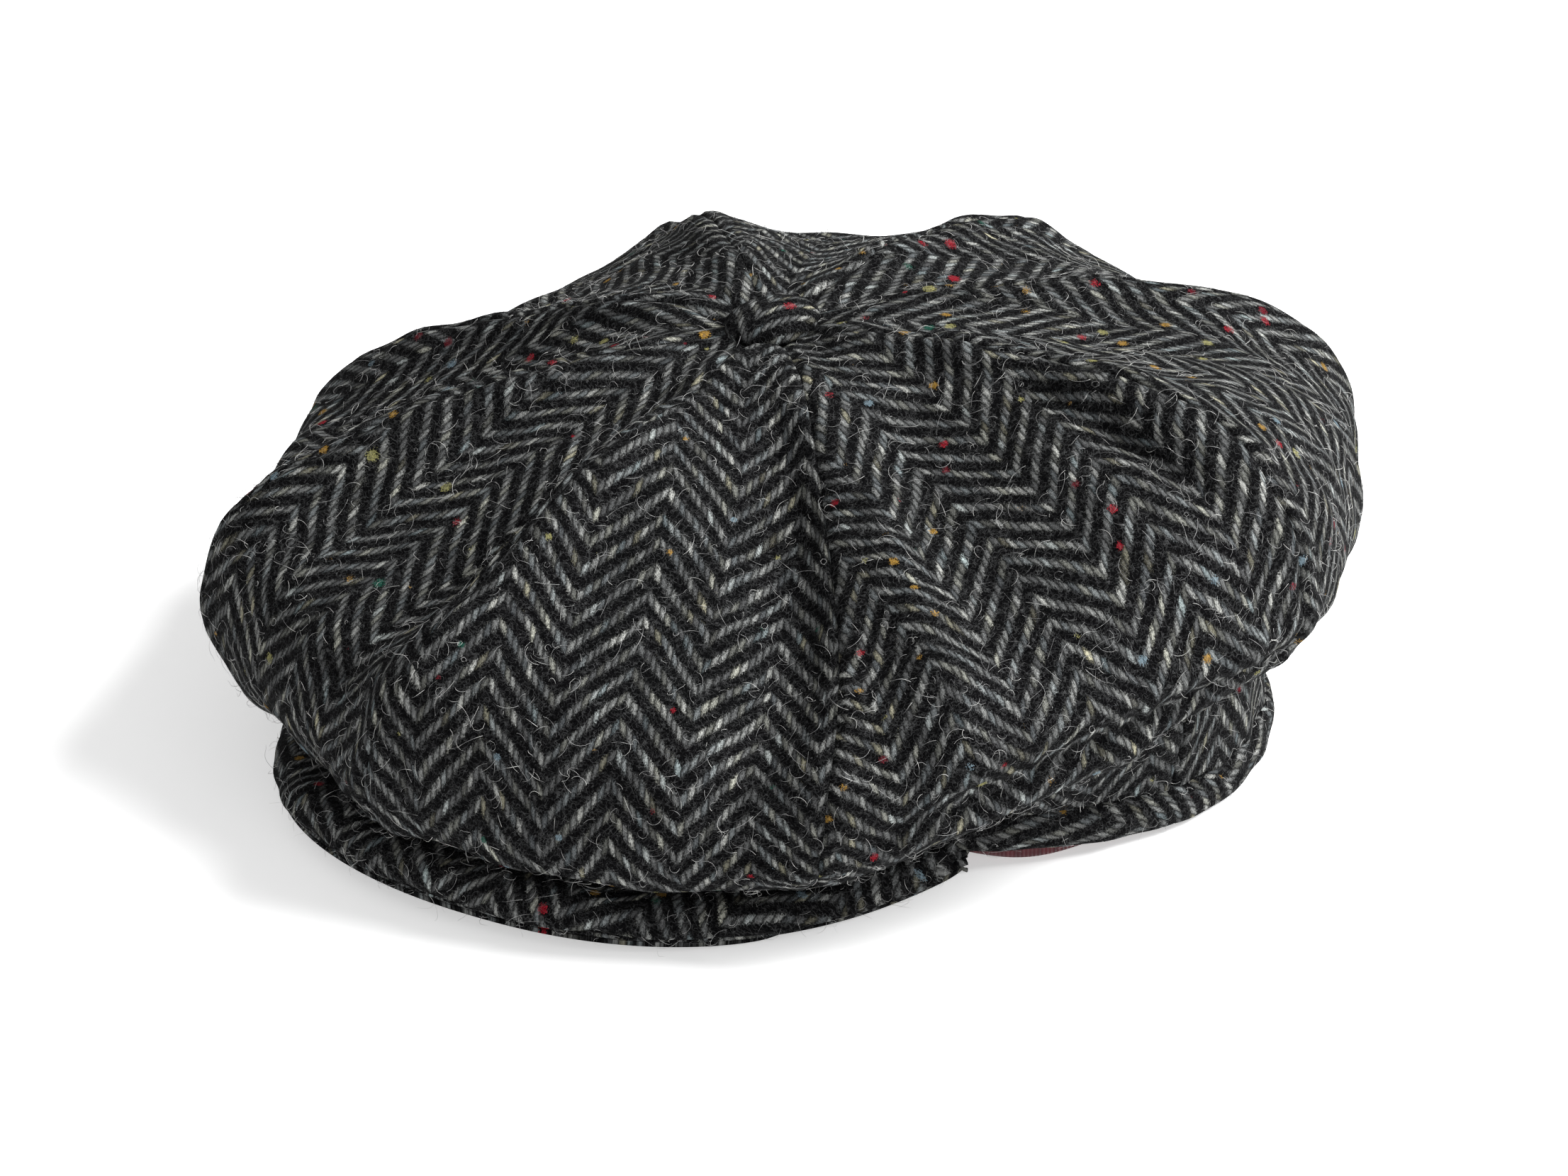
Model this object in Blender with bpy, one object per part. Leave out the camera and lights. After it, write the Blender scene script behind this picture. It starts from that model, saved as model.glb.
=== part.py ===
"""Eight-panel newsboy cap in herringbone tweed, lying at rest on a table.

The front of the cap points to -Y, the wearer's left is +X and +Z is up.  The
head opening rests on Z = 0, and the finished cap is centred over the origin.
Lengths are in millimetres until an object is made, where they become metres.

Plan angles ("bearings") are in degrees about the button: 0 is straight ahead
(-Y), 90 is the wearer's left (+X) and 180 is the back (+Y).
"""

from math import cos, pi, radians, sin

import bmesh
import bpy
import numpy as np

MM = 0.001

# ---------------------------------------------------------------- dimensions
CLOTH = 1.6             # tweed with its fused backing
GAP = 0.4               # clearance between neighbouring pieces
PANELS = 8
PANEL_STEP = 360.0 / PANELS

# head opening, flattened from a 59 cm head oval into a wider one
BAND_HALF_WIDTH = 106.0
BAND_HALF_LENGTH = 86.0
BAND_CENTRE_Y = -4.0
BAND_THICKNESS = 2.6
BAND_HEIGHT = 9.0
BAND_FRONT_LIFT = 8.5   # the peak holds the front of the band up
BAND_LIFT_POWER = 1.6   # how quickly that lift dies away towards the sides
BAND_FOLD_RISE = 1.2    # the folded lower edge is rounded over this height
BAND_FOLD_INSET = 0.7
BAND_SEGMENTS = 64

SWEATBAND_THICKNESS = 1.2
SWEATBAND_HEIGHT = 30.0
SWEATBAND_RECESS = 1.2  # the sweatband stops this far above the band's edge

# button
BUTTON_CENTRE = (0.0, -23.0)
BUTTON_RADIUS = 10.5
BUTTON_BASE_Z = 95.0
BUTTON_RISE = 5.0
BUTTON_TILT = (radians(8.0), radians(-6.0))
BUTTON_CLOTH = 1.0
BUTTON_SHELL = 0.6
BUTTON_SKIRT = 1.0      # the dome springs this far above the button's base
BUTTON_HEM_Z = 0.4
BUTTON_SHELL_Z = 0.8
BUTTON_SEGMENTS = 24
BUTTON_DOME_STEPS = 6
STEM_RADIUS = 1.5
STEM_SEGMENTS = 16
STEM_CLEARANCE = 0.5    # under the shell's crown
KNOT_OUTLINE = ((3.4, -6.0), (3.6, -7.0), (2.6, -8.0), (0.0, -8.2))
KNOT_NECK_Z = -5.4

# crown: every seam is a raised rib.  Per seam, at its bearing: rib heights at
# 30 mm and 62 mm from the button, (reach, height) of its shoulder and of its
# widest point, and the height where it tucks in under the crown.
RIB_INNER_REACH = 30.0
RIB_OUTER_REACH = 62.0
CROWN_RIM_REACH = 4.5   # the panels' points stop here, around the button stem
CROWN_RIM_Z = 92.5
SEAMS = (
    # rib heights   shoulder        widest point   tuck
    (92.0, 86.0, (92.0, 70.0), (124.0, 31.0), 13.0),      # front centre
    (95.0, 79.0, (97.0, 62.0), (122.0, 30.0), 16.0),
    (101.0, 103.0, (104.0, 101.0), (132.0, 63.0), 34.0),  # wearer's left
    (100.0, 101.0, (101.0, 95.0), (134.0, 60.0), 31.0),
    (98.0, 98.0, (97.0, 90.0), (131.0, 48.0), 22.0),      # back centre
    (99.0, 97.0, (94.0, 85.0), (130.0, 44.0), 18.0),
    (95.0, 86.0, (102.0, 69.0), (127.0, 41.0), 15.0),     # wearer's right
    (94.0, 88.0, (98.0, 75.0), (128.0, 41.0), 13.5),
)
# how far each rib swings round by the time it reaches the band, in degrees
RIB_SWING = (-11.0, -8.0, 0.0, 0.0, -5.0, 0.0, 0.0, -2.0)
SWING_END = 0.62        # share of the profile where a rib has swung all the way
# how far the middle of each panel sinks between its two ribs
PANEL_SAG = (3.0, 7.0, 7.0, 9.0, 8.0, 8.0, 12.0, 8.0)
# where the sag shows, from the button out over the ribs and down to the tuck
SAG_DOWN = (0.0, 0.3, 0.9, 1.0, 0.5, 0.0, 0.0, 0.0)
SAG_IN = (0.0, 0.0, 0.0, 0.3, 0.7, 0.6, 0.4, 0.2)
TUCK_REACH = 14.0       # from the widest point in to the tuck above the band
TUCK_CLEARANCE = 4.0    # the tuck stays at least this far outside the band
ROLL_REACH_SHARE = 0.8  # where the cloth starts to roll over, between shoulder and widest point
ROLL_DROP_SHARE = 0.55
UNDER_ROLL_INSET = 3.0
HEM_ROUND = 1.0         # the cloth arches this much between the tuck and the band
NORMAL_STEP = 0.02      # share of the profile, and degrees, that a surface direction spans
NORMAL_TURN = 3.0
NORMAL_TURN_AT_RIM = 20.0
RIM_ZONE = 12.0         # reach from the button within which the wider turn holds
CROWN_ACROSS = 8
CROWN_ALONG = 22

# lining: four gores hung inside the crown
LINING_GORES = 4
LINING_THICKNESS = 1.0
LINING_INSET = 5.0
LINING_GAP = 1.2
LINING_ACROSS = 10
LINING_ALONG = 12
LINING_START = 0.07     # shares of the crown's profile that the lining follows
LINING_TURN = 0.62
LINING_POUCH = 3.0      # the lining hangs slack by this much above the sweatband
LINING_HEM_STEPS = 3

# peak
PEAK_CENTRE = (-6.9, -47.4)       # of its superellipse outline
PEAK_YAW = radians(4.9)           # the peak lies a little askew
PEAK_HALF_WIDTHS = (87.3, 82.3)   # to the wearer's right and left
PEAK_REACH = 98.2
PEAK_SQUARENESS = 2.14            # exponent of the superellipse
PEAK_SPAN = (-88.0, 73.0)         # outline parameter from end to end, in degrees
PEAK_ROOT_BEARINGS = (-58.0, 44.0)
PEAK_ARCH = 5.6         # the middle of the peak stands this much higher
PEAK_TILT = -2.3        # and its wearer's right side higher than its left
PEAK_CLOTH = 1.4
PEAK_BOARD = 1.8
PEAK_STATIONS = 41
PEAK_LIP = 2.2          # the upper cover turns down over the board's edge
PEAK_EDGE_ROUND = 1.2   # bevel along the upper cover's outer edge
PEAK_PAD = 0.6          # the upper cover is fuller halfway between rim and root
PEAK_ROOT_CLEARANCE = 0.5
UNDER_EDGE_INSETS = (0.3, 0.9)  # top and bottom edge of the under cover's rim
UNDER_EDGE_ROUND = 0.5


# ------------------------------------------------------------------- helpers
def catmull_rom(points, t, closed=False):
    """Point at parameter t on a smooth curve through a list of points."""
    count = len(points)
    i = int(np.floor(t))
    if not closed:
        i = min(max(i, 0), count - 2)
    f = t - i

    def at(k):
        if closed:
            return points[k % count]
        if k < 0:
            return 2 * points[0] - points[1]
        if k >= count:
            return 2 * points[-1] - points[-2]
        return points[k]

    a, b, c, d = (at(i + k) for k in (-1, 0, 1, 2))
    return 0.5 * (2 * b + (c - a) * f + (2 * a - 5 * b + 4 * c - d) * f**2
                  + (3 * b - a - 3 * c + d) * f**3)


def smooth_step(x):
    """Ease from 0 to 1."""
    x = min(max(x, 0.0), 1.0)
    return x * x * (3.0 - 2.0 * x)


def bearing_vector(bearing):
    """Unit vector in plan at a bearing."""
    angle = radians(bearing)
    return np.array([sin(angle), -cos(angle)])


def band_lift(bearing):
    """Height of the band's lower edge over the table."""
    return BAND_FRONT_LIFT * max(0.0, cos(radians(bearing))) ** BAND_LIFT_POWER


def band_point(bearing, inset, z):
    """A point on the head oval, moved inwards by an inset."""
    angle = radians(bearing)
    return np.array([(BAND_HALF_WIDTH - inset) * sin(angle),
                     BAND_CENTRE_Y - (BAND_HALF_LENGTH - inset) * cos(angle), z])


def material(name, colour, roughness, metallic=0.0):
    """Principled material of one plain colour."""
    mat = bpy.data.materials.new(name)
    mat.use_nodes = True
    shader = mat.node_tree.nodes["Principled BSDF"]
    shader.inputs["Base Color"].default_value = (*colour, 1.0)
    shader.inputs["Roughness"].default_value = roughness
    shader.inputs["Metallic"].default_value = metallic
    mat.diffuse_color = (*colour, 1.0)
    mat.roughness = roughness
    mat.metallic = metallic
    return mat


def add_object(name, verts, faces, mat, origin=(0.0, 0.0, 0.0), tilt=None):
    """Closed body from vertices in millimetres around its own origin."""
    mesh = bpy.data.meshes.new(name)
    mesh.from_pydata([[c * MM for c in v] for v in verts], [], faces)
    mesh.materials.append(mat)
    bm = bmesh.new()
    bm.from_mesh(mesh)
    bmesh.ops.remove_doubles(bm, verts=bm.verts, dist=1e-6)
    bmesh.ops.recalc_face_normals(bm, faces=bm.faces)
    bm.to_mesh(mesh)
    bm.free()
    obj = bpy.data.objects.new(name, mesh)
    obj.location = [c * MM for c in origin]
    if tilt:
        obj.rotation_euler = (tilt[0], tilt[1], 0.0)
    bpy.context.scene.collection.objects.link(obj)
    return obj


def sheet_body(outer, inner):
    """Vertices and faces of the solid between two matching point grids."""
    rows, cols = outer.shape[:2]
    verts = np.concatenate([outer.reshape(-1, 3), inner.reshape(-1, 3)])
    half = rows * cols

    def top(i, j):
        return i * cols + j

    def low(i, j):
        return half + top(i, j)

    faces = []
    for i in range(rows - 1):
        for j in range(cols - 1):
            faces.append((top(i, j), top(i + 1, j), top(i + 1, j + 1), top(i, j + 1)))
            faces.append((low(i, j), low(i, j + 1), low(i + 1, j + 1), low(i + 1, j)))
        for j in (0, cols - 1):
            faces.append((top(i, j), low(i, j), low(i + 1, j), top(i + 1, j)))
    for i in (0, rows - 1):
        for j in range(cols - 1):
            faces.append((top(i, j), top(i, j + 1), low(i, j + 1), low(i, j)))
    return verts.tolist(), faces


def swept_body(sections, ring=False):
    """Vertices and faces of closed cross-sections joined one after another."""
    count = len(sections)
    size = len(sections[0])
    verts = [list(p) for section in sections for p in section]
    faces = []
    for i in range(count if ring else count - 1):
        a = i * size
        b = (i + 1) % count * size
        for j in range(size):
            k = (j + 1) % size
            faces.append((a + j, b + j, b + k, a + k))
    if not ring:
        faces.append(tuple(range(size)))
        faces.append(tuple(range((count - 1) * size, count * size)))
    return verts, faces


def lathe_body(profile, segments):
    """Body of revolution about Z; its (radius, z) outline runs from axis to axis."""
    verts = []
    for i in range(segments):
        angle = 2 * pi * i / segments
        verts += [(r * cos(angle), r * sin(angle), z) for r, z in profile]
    size = len(profile)
    faces = []
    for i in range(segments):
        a = i * size
        b = (i + 1) % segments * size
        for j in range(size - 1):
            faces.append((a + j, b + j, b + j + 1, a + j + 1))
    return verts, faces


# --------------------------------------------------------------------- crown
def band_reach(bearing):
    """Distance in plan from the button to the head oval."""
    x, y = bearing_vector(bearing)
    offset = BUTTON_CENTRE[1] - BAND_CENTRE_Y
    a = (x / BAND_HALF_WIDTH) ** 2 + (y / BAND_HALF_LENGTH) ** 2
    b = y * offset / BAND_HALF_LENGTH ** 2
    c = (offset / BAND_HALF_LENGTH) ** 2 - 1.0
    return (-b + (b * b - a * c) ** 0.5) / a


def seam_profile(seam, bearing):
    """(reach, height) points of one rib, from the button down to the tuck."""
    inner_z, outer_z, (shoulder_r, shoulder_z), (wide_r, wide_z), tuck_z = seam
    roll_r = shoulder_r + ROLL_REACH_SHARE * (wide_r - shoulder_r)
    roll_z = wide_z + ROLL_DROP_SHARE * (shoulder_z - wide_z)
    return np.array([
        (CROWN_RIM_REACH, CROWN_RIM_Z),
        (RIB_INNER_REACH, inner_z),
        (RIB_OUTER_REACH, outer_z),
        (shoulder_r, shoulder_z),
        (roll_r, roll_z),
        (wide_r, wide_z),
        (wide_r - UNDER_ROLL_INSET, wide_z - ROLL_DROP_SHARE * (wide_z - tuck_z)),
        (max(wide_r - TUCK_REACH, band_reach(bearing) + TUCK_CLEARANCE), tuck_z),
    ])


RIBS = [seam_profile(seam, k * PANEL_STEP) for k, seam in enumerate(SEAMS)]
RIB_SWINGS = [np.array([swing]) for swing in RIB_SWING]


def crown_point(bearing, v):
    """Outer surface of the crown: v is 0 at the button and 1 at the band."""
    step = bearing / PANEL_STEP
    profile = catmull_rom(RIBS, step, closed=True).copy()
    across = abs(sin(pi * step))
    sag = PANEL_SAG[int(np.floor(step)) % PANELS] * across
    for k in range(len(profile)):
        profile[k, 0] -= sag * SAG_IN[k]
        profile[k, 1] -= sag * SAG_DOWN[k]
    swing = catmull_rom(RIB_SWINGS, step, closed=True)[0]
    bearing += swing * smooth_step(v / SWING_END)
    direction = bearing_vector(bearing)
    points = [np.array([*(np.array(BUTTON_CENTRE) + direction * r), z]) for r, z in profile]
    seat = band_lift(bearing) + BAND_HEIGHT + GAP
    hem = band_point(bearing, 0.5 * (BAND_THICKNESS - CLOTH), seat)
    points.append(0.5 * (points[-1] + hem) + (0.0, 0.0, HEM_ROUND))
    points.append(hem)
    return catmull_rom(points, v * (len(points) - 1))


def crown_normal(bearing, v):
    """Outward direction, averaged over the ribs so that seam faces match."""
    reach = np.linalg.norm(crown_point(bearing, v)[:2] - np.array(BUTTON_CENTRE))
    turn = NORMAL_TURN if reach > RIM_ZONE else NORMAL_TURN_AT_RIM
    along = (crown_point(bearing, min(v + NORMAL_STEP, 1.0))
             - crown_point(bearing, max(v - NORMAL_STEP, 0.0)))
    around = crown_point(bearing + turn, v) - crown_point(bearing - turn, v)
    normal = np.cross(along, around)
    return normal / np.linalg.norm(normal)


def crown_grid(first, last, across, along, inset, gap=GAP, v_range=(0.0, 1.0)):
    """Grid of crown points between two bearings, pushed inwards by an inset."""
    grid = np.zeros((across + 1, along + 1, 3))
    for j in range(along + 1):
        v = v_range[0] + (v_range[1] - v_range[0]) * j / along
        reach = np.linalg.norm(crown_point(first, v)[:2] - np.array(BUTTON_CENTRE))
        trim = np.degrees(0.5 * gap / reach)
        for i in range(across + 1):
            share = i / across
            point = crown_point(first + trim + (last - first - 2 * trim) * share, v)
            # neighbours use the same direction at the seam that they share
            inwards = crown_normal(first + (last - first) * share, v)
            grid[i, j] = point - inset * inwards
    return grid


def make_crown_panels(tweed):
    """Eight gores, each from the button to the band."""
    for k in range(PANELS):
        first = k * PANEL_STEP
        last = first + PANEL_STEP
        outer = crown_grid(first, last, CROWN_ACROSS, CROWN_ALONG, 0.0)
        inner = crown_grid(first, last, CROWN_ACROSS, CROWN_ALONG, CLOTH)
        inner[:, -1, 2] = outer[:, -1, 2]
        verts, faces = sheet_body(outer, inner)
        add_object(f"crown_panel_{k + 1}", verts, faces, tweed)


# -------------------------------------------------------------------- lining
def lining_grid(first, last, depth):
    """Grid of one lining gore; depth is its distance inside the outer cloth."""
    v_range = (LINING_START, LINING_TURN)
    grid = crown_grid(first, last, LINING_ACROSS, LINING_ALONG, depth, LINING_GAP, v_range)
    hem = np.zeros((LINING_ACROSS + 1, LINING_HEM_STEPS, 3))
    for i in range(LINING_ACROSS + 1):
        trim = np.degrees(0.5 * LINING_GAP / BAND_HALF_LENGTH)
        bearing = first + trim + (last - first - 2 * trim) * i / LINING_ACROSS
        z = band_lift(bearing) + SWEATBAND_RECESS + SWEATBAND_HEIGHT + GAP
        end = band_point(bearing, BAND_THICKNESS + GAP, z + depth - LINING_INSET)
        start = grid[i, -1]
        for j in range(LINING_HEM_STEPS):
            share = (j + 1) / LINING_HEM_STEPS
            hem[i, j] = start + (end - start) * share
            hem[i, j, 2] -= LINING_POUCH * sin(pi * share)
    return np.concatenate([grid, hem], axis=1)


def make_lining(satin):
    """Gores of thin lining, hanging slack inside the crown."""
    step = 360.0 / LINING_GORES
    for k in range(LINING_GORES):
        first = k * step
        outer = lining_grid(first, first + step, LINING_INSET)
        inner = lining_grid(first, first + step, LINING_INSET + LINING_THICKNESS)
        verts, faces = sheet_body(outer, inner)
        add_object(f"lining_gore_{k + 1}", verts, faces, satin)


# ---------------------------------------------------------------- head bands
def make_band(tweed):
    """Outer band: a doubled strip of tweed with a rounded lower fold."""
    sections = []
    for i in range(BAND_SEGMENTS):
        bearing = 360.0 * i / BAND_SEGMENTS
        low = band_lift(bearing)
        high = low + BAND_HEIGHT
        fold = low + BAND_FOLD_RISE
        outline = ((0.0, fold), (BAND_FOLD_INSET, low), (BAND_THICKNESS - BAND_FOLD_INSET, low),
                   (BAND_THICKNESS, fold), (BAND_THICKNESS, high), (0.0, high))
        sections.append([band_point(bearing, inset, z) for inset, z in outline])
    verts, faces = swept_body(sections, ring=True)
    add_object("outer_band", verts, faces, tweed)


def make_sweatband(ribbon):
    """Sweatband: a plain strip standing inside the outer band."""
    sections = []
    inset = BAND_THICKNESS + GAP
    for i in range(BAND_SEGMENTS):
        bearing = 360.0 * i / BAND_SEGMENTS
        low = band_lift(bearing) + SWEATBAND_RECESS
        high = low + SWEATBAND_HEIGHT
        outline = ((inset, low), (inset + SWEATBAND_THICKNESS, low),
                   (inset + SWEATBAND_THICKNESS, high), (inset, high))
        sections.append([band_point(bearing, depth, z) for depth, z in outline])
    verts, faces = swept_body(sections, ring=True)
    add_object("sweatband", verts, faces, ribbon)


# ---------------------------------------------------------------------- peak
def peak_frame(share):
    """Root and rim of the peak in plan, and its underside's height, at a share
    of the way from the wearer's right end to the left one."""
    tau = radians(PEAK_SPAN[0] + (PEAK_SPAN[1] - PEAK_SPAN[0]) * share)
    first, last = PEAK_ROOT_BEARINGS
    root = band_point(first + (last - first) * share, -PEAK_ROOT_CLEARANCE, 0.0)[:2]
    power = 2.0 / PEAK_SQUARENESS
    half_width = -PEAK_HALF_WIDTHS[0] if tau < 0 else PEAK_HALF_WIDTHS[1]
    across = half_width * abs(sin(tau)) ** power
    ahead = PEAK_REACH * abs(cos(tau)) ** power
    rim = np.array(PEAK_CENTRE) + (across * cos(PEAK_YAW) + ahead * sin(PEAK_YAW),
                                   across * sin(PEAK_YAW) - ahead * cos(PEAK_YAW))
    lift = max(0.0, (PEAK_ARCH + 2.0 * PEAK_TILT * sin(tau)) * cos(tau) ** 2)
    return root, rim, lift


def peak_sections(outline):
    """Cross-sections along the peak; outline points are (inset, height)."""
    sections = []
    for i in range(PEAK_STATIONS):
        root, rim, lift = peak_frame(i / (PEAK_STATIONS - 1))
        span = np.linalg.norm(rim - root)
        section = []
        for from_rim, share, height in outline:
            distance = from_rim + share * (span - from_rim)
            plan = rim + (root - rim) * distance / span
            section.append((plan[0], plan[1], lift + height))
        sections.append(section)
    return sections


def make_peak(tweed, board):
    """Upper cover, stiff board and under cover, one over another."""
    under = PEAK_CLOTH
    board_low = under + GAP
    board_high = board_low + PEAK_BOARD
    cover_low = board_high + GAP
    cover_high = cover_low + PEAK_CLOTH
    lip = PEAK_CLOTH + GAP
    lip_low = cover_low - PEAK_LIP
    upper = ((0.0, 0, cover_high - PEAK_EDGE_ROUND), (0.0, 0, lip_low),
             (PEAK_CLOTH, 0, lip_low), (PEAK_CLOTH, 0, cover_low),
             (PEAK_CLOTH, 0.5, cover_low), (PEAK_CLOTH, 1, cover_low),
             (PEAK_CLOTH, 1, cover_high), (PEAK_CLOTH, 0.5, cover_high + PEAK_PAD),
             (PEAK_EDGE_ROUND, 0, cover_high))
    stiff = ((lip, 0, board_low), (lip, 1, board_low), (lip, 1, board_high),
             (lip, 0.5, board_high), (lip, 0, board_high))
    edge_top, edge_bottom = UNDER_EDGE_INSETS
    lower = ((edge_top, 0, under - UNDER_EDGE_ROUND), (edge_bottom, 0, 0.0),
             (edge_bottom, 1, 0.0), (edge_bottom, 1, under), (edge_top, 0, under))
    for name, outline, mat in (("peak_upper_cover", upper, tweed),
                               ("peak_board", stiff, board),
                               ("peak_under_cover", lower, tweed)):
        verts, faces = swept_body(peak_sections(outline))
        add_object(name, verts, faces, mat)


# -------------------------------------------------------------------- button
def make_button(tweed, metal, thread):
    """Covered button: cloth over a metal shell, tied down by a thread stem."""
    origin = (*BUTTON_CENTRE, BUTTON_BASE_Z)

    def dome(inset):
        """Quarter outline from the skirt up to the axis, inside the button's skin."""
        radius = BUTTON_RADIUS - inset
        rise = BUTTON_RISE - inset
        angles = [0.5 * pi * i / BUTTON_DOME_STEPS for i in range(BUTTON_DOME_STEPS)]
        rim = [(radius * cos(a), BUTTON_SKIRT + rise * sin(a)) for a in angles]
        return rim + [(0.0, BUTTON_SKIRT + rise)]

    def cup(inset, thickness, hem_z):
        """Closed outline of a domed cup whose edge is turned down to hem_z."""
        outer = dome(inset)
        inner = dome(inset + thickness)
        hem = [(outer[0][0], hem_z), (inner[0][0], hem_z)]
        return outer[::-1] + hem + inner

    shell_inset = BUTTON_CLOTH + GAP
    verts, faces = lathe_body(cup(0.0, BUTTON_CLOTH, BUTTON_HEM_Z), BUTTON_SEGMENTS)
    add_object("button_cover", verts, faces, tweed, origin, BUTTON_TILT)

    verts, faces = lathe_body(cup(shell_inset, BUTTON_SHELL, BUTTON_SHELL_Z), BUTTON_SEGMENTS)
    add_object("button_shell", verts, faces, metal, origin, BUTTON_TILT)

    shell_roof = BUTTON_SKIRT + BUTTON_RISE - shell_inset - BUTTON_SHELL
    stem_top = shell_roof - STEM_CLEARANCE
    stem = ((0.0, stem_top), (STEM_RADIUS, stem_top), (STEM_RADIUS, KNOT_NECK_Z), *KNOT_OUTLINE)
    verts, faces = lathe_body(stem, STEM_SEGMENTS)
    add_object("button_thread", verts, faces, thread, origin, BUTTON_TILT)


def centre_over_origin():
    """Move every piece so that the cap's box is centred on the Z axis."""
    bpy.context.view_layer.update()
    pieces = [obj for obj in bpy.data.objects if obj.type == "MESH"]
    corners = np.array([obj.matrix_world @ vert.co for obj in pieces for vert in obj.data.vertices])
    middle = 0.5 * (corners.min(axis=0) + corners.max(axis=0))
    for obj in pieces:
        obj.location.x -= middle[0]
        obj.location.y -= middle[1]


def main():
    for obj in list(bpy.data.objects):
        bpy.data.objects.remove(obj, do_unlink=True)
    tweed = material("charcoal_tweed", (0.075, 0.078, 0.08), 0.95)
    satin = material("burgundy_satin", (0.11, 0.012, 0.02), 0.45)
    ribbon = material("burgundy_ribbon", (0.09, 0.012, 0.018), 0.7)
    board = material("peak_fibreboard", (0.45, 0.36, 0.24), 0.8)
    metal = material("button_steel", (0.6, 0.6, 0.6), 0.35, 1.0)
    thread = material("button_thread", (0.03, 0.03, 0.03), 0.8)
    make_crown_panels(tweed)
    make_lining(satin)
    make_band(tweed)
    make_sweatband(ribbon)
    make_peak(tweed, board)
    make_button(tweed, metal, thread)
    centre_over_origin()


main()
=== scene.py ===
"""Looks of the eight-panel newsboy cap: herringbone tweed, lining, button and peak.

Lengths are in millimetres inside the shape functions and become metres when a
piece is made.  A bearing is a plan angle in degrees about the button: 0 is the
front (-Y), 90 the wearer's left (+X) and 180 the back (+Y).
"""

from functools import partialmethod
from math import atan2, cos, pi, radians, sin

import bmesh
import bpy
import numpy as np
from mathutils import Matrix, Vector


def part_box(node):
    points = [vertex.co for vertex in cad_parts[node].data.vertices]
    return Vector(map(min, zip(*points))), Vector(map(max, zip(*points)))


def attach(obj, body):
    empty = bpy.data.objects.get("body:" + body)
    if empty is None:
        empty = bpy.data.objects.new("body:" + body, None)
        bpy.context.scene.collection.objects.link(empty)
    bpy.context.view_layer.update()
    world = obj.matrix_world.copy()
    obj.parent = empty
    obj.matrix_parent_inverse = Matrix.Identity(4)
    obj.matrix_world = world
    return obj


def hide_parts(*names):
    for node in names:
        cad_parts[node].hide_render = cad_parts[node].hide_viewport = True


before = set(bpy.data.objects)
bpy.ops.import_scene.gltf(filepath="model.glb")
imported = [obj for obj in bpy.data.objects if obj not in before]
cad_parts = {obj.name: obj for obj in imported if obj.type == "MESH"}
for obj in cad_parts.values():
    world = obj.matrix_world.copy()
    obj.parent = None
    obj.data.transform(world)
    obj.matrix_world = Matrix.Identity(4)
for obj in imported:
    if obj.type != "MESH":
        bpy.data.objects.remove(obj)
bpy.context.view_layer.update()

MM = 0.001
BODY = "root"

# ------------------------------------------------------- places from the frame
band_low, band_high = (np.array(corner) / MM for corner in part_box("outer_band"))

BAND_CENTRE = 0.5 * (band_low + band_high)[:2]
BAND_HALF_WIDTH = 0.5 * (band_high - band_low)[0]
BAND_HALF_LENGTH = 0.5 * (band_high - band_low)[1]
BUTTON_CENTRE = BAND_CENTRE - (0.0, 19.0)      # the crown's middle lies ahead of the band's

# ------------------------------------------------------------------ dimensions
CLOTH = 1.6             # tweed with its fused backing
GAP = 0.4               # clearance between neighbouring pieces
PANELS = 8
PANEL_STEP = 360.0 / PANELS
BAND_HEIGHT = 9.0
BAND_FRONT_LIFT = 8.5   # the peak holds the front of the band up
BAND_THICKNESS = 2.6
BAND_PLY = 0.9
BAND_RIPPLE = 0.25
BAND_WEAVE_TURN = 25.0  # the strip is cut off the straight grain
BAND_SECTION = (        # (inset, height): outside, the fold below, and up inside
    (1.0, 9.2), (-0.6, 8.6), (-2.1, 5.6), (-2.0, 2.4), (-0.6, 0.5),
    (1.2, 0.05), (2.2, 0.8), (2.5, 3.0), (2.5, 6.0), (2.4, 8.8),
)
BAND_STATIONS = 288
STRIP_END_GAP = 0.35    # degrees from each end of a strip to the seam at the back
BAND_OUTSIDE = 30       # rows of its section that show outside and can grow fibres
BAND_LEAST_Z = 0.05     # the band's cloth stops this far above the table
LEAST_Z = 0.1           # and the ribbon and loose fibres this far

SWEATBAND_THICKNESS = 1.0
SWEATBAND_HEIGHT = 30.0
SWEATBAND_RECESS = 1.2
SWEATBAND_SLACK = 0.1
SWEATBAND_BOW = 0.4     # its middle bows inwards this far
SWEATBAND_DROOP = 4.6   # it sags below the band beside the peak
DROOP_BEARING = 54.0
DROOP_SPAN = 12.0
RIBBON_RIB = 0.9        # pitch of the ribbon's ribs
STITCH_PITCH = 3.6
STITCH_LENGTH = 2.7
STITCH_RADIUS = 0.24
STITCH_ROW = 5          # the ribbon's row of points that they run along

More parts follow.
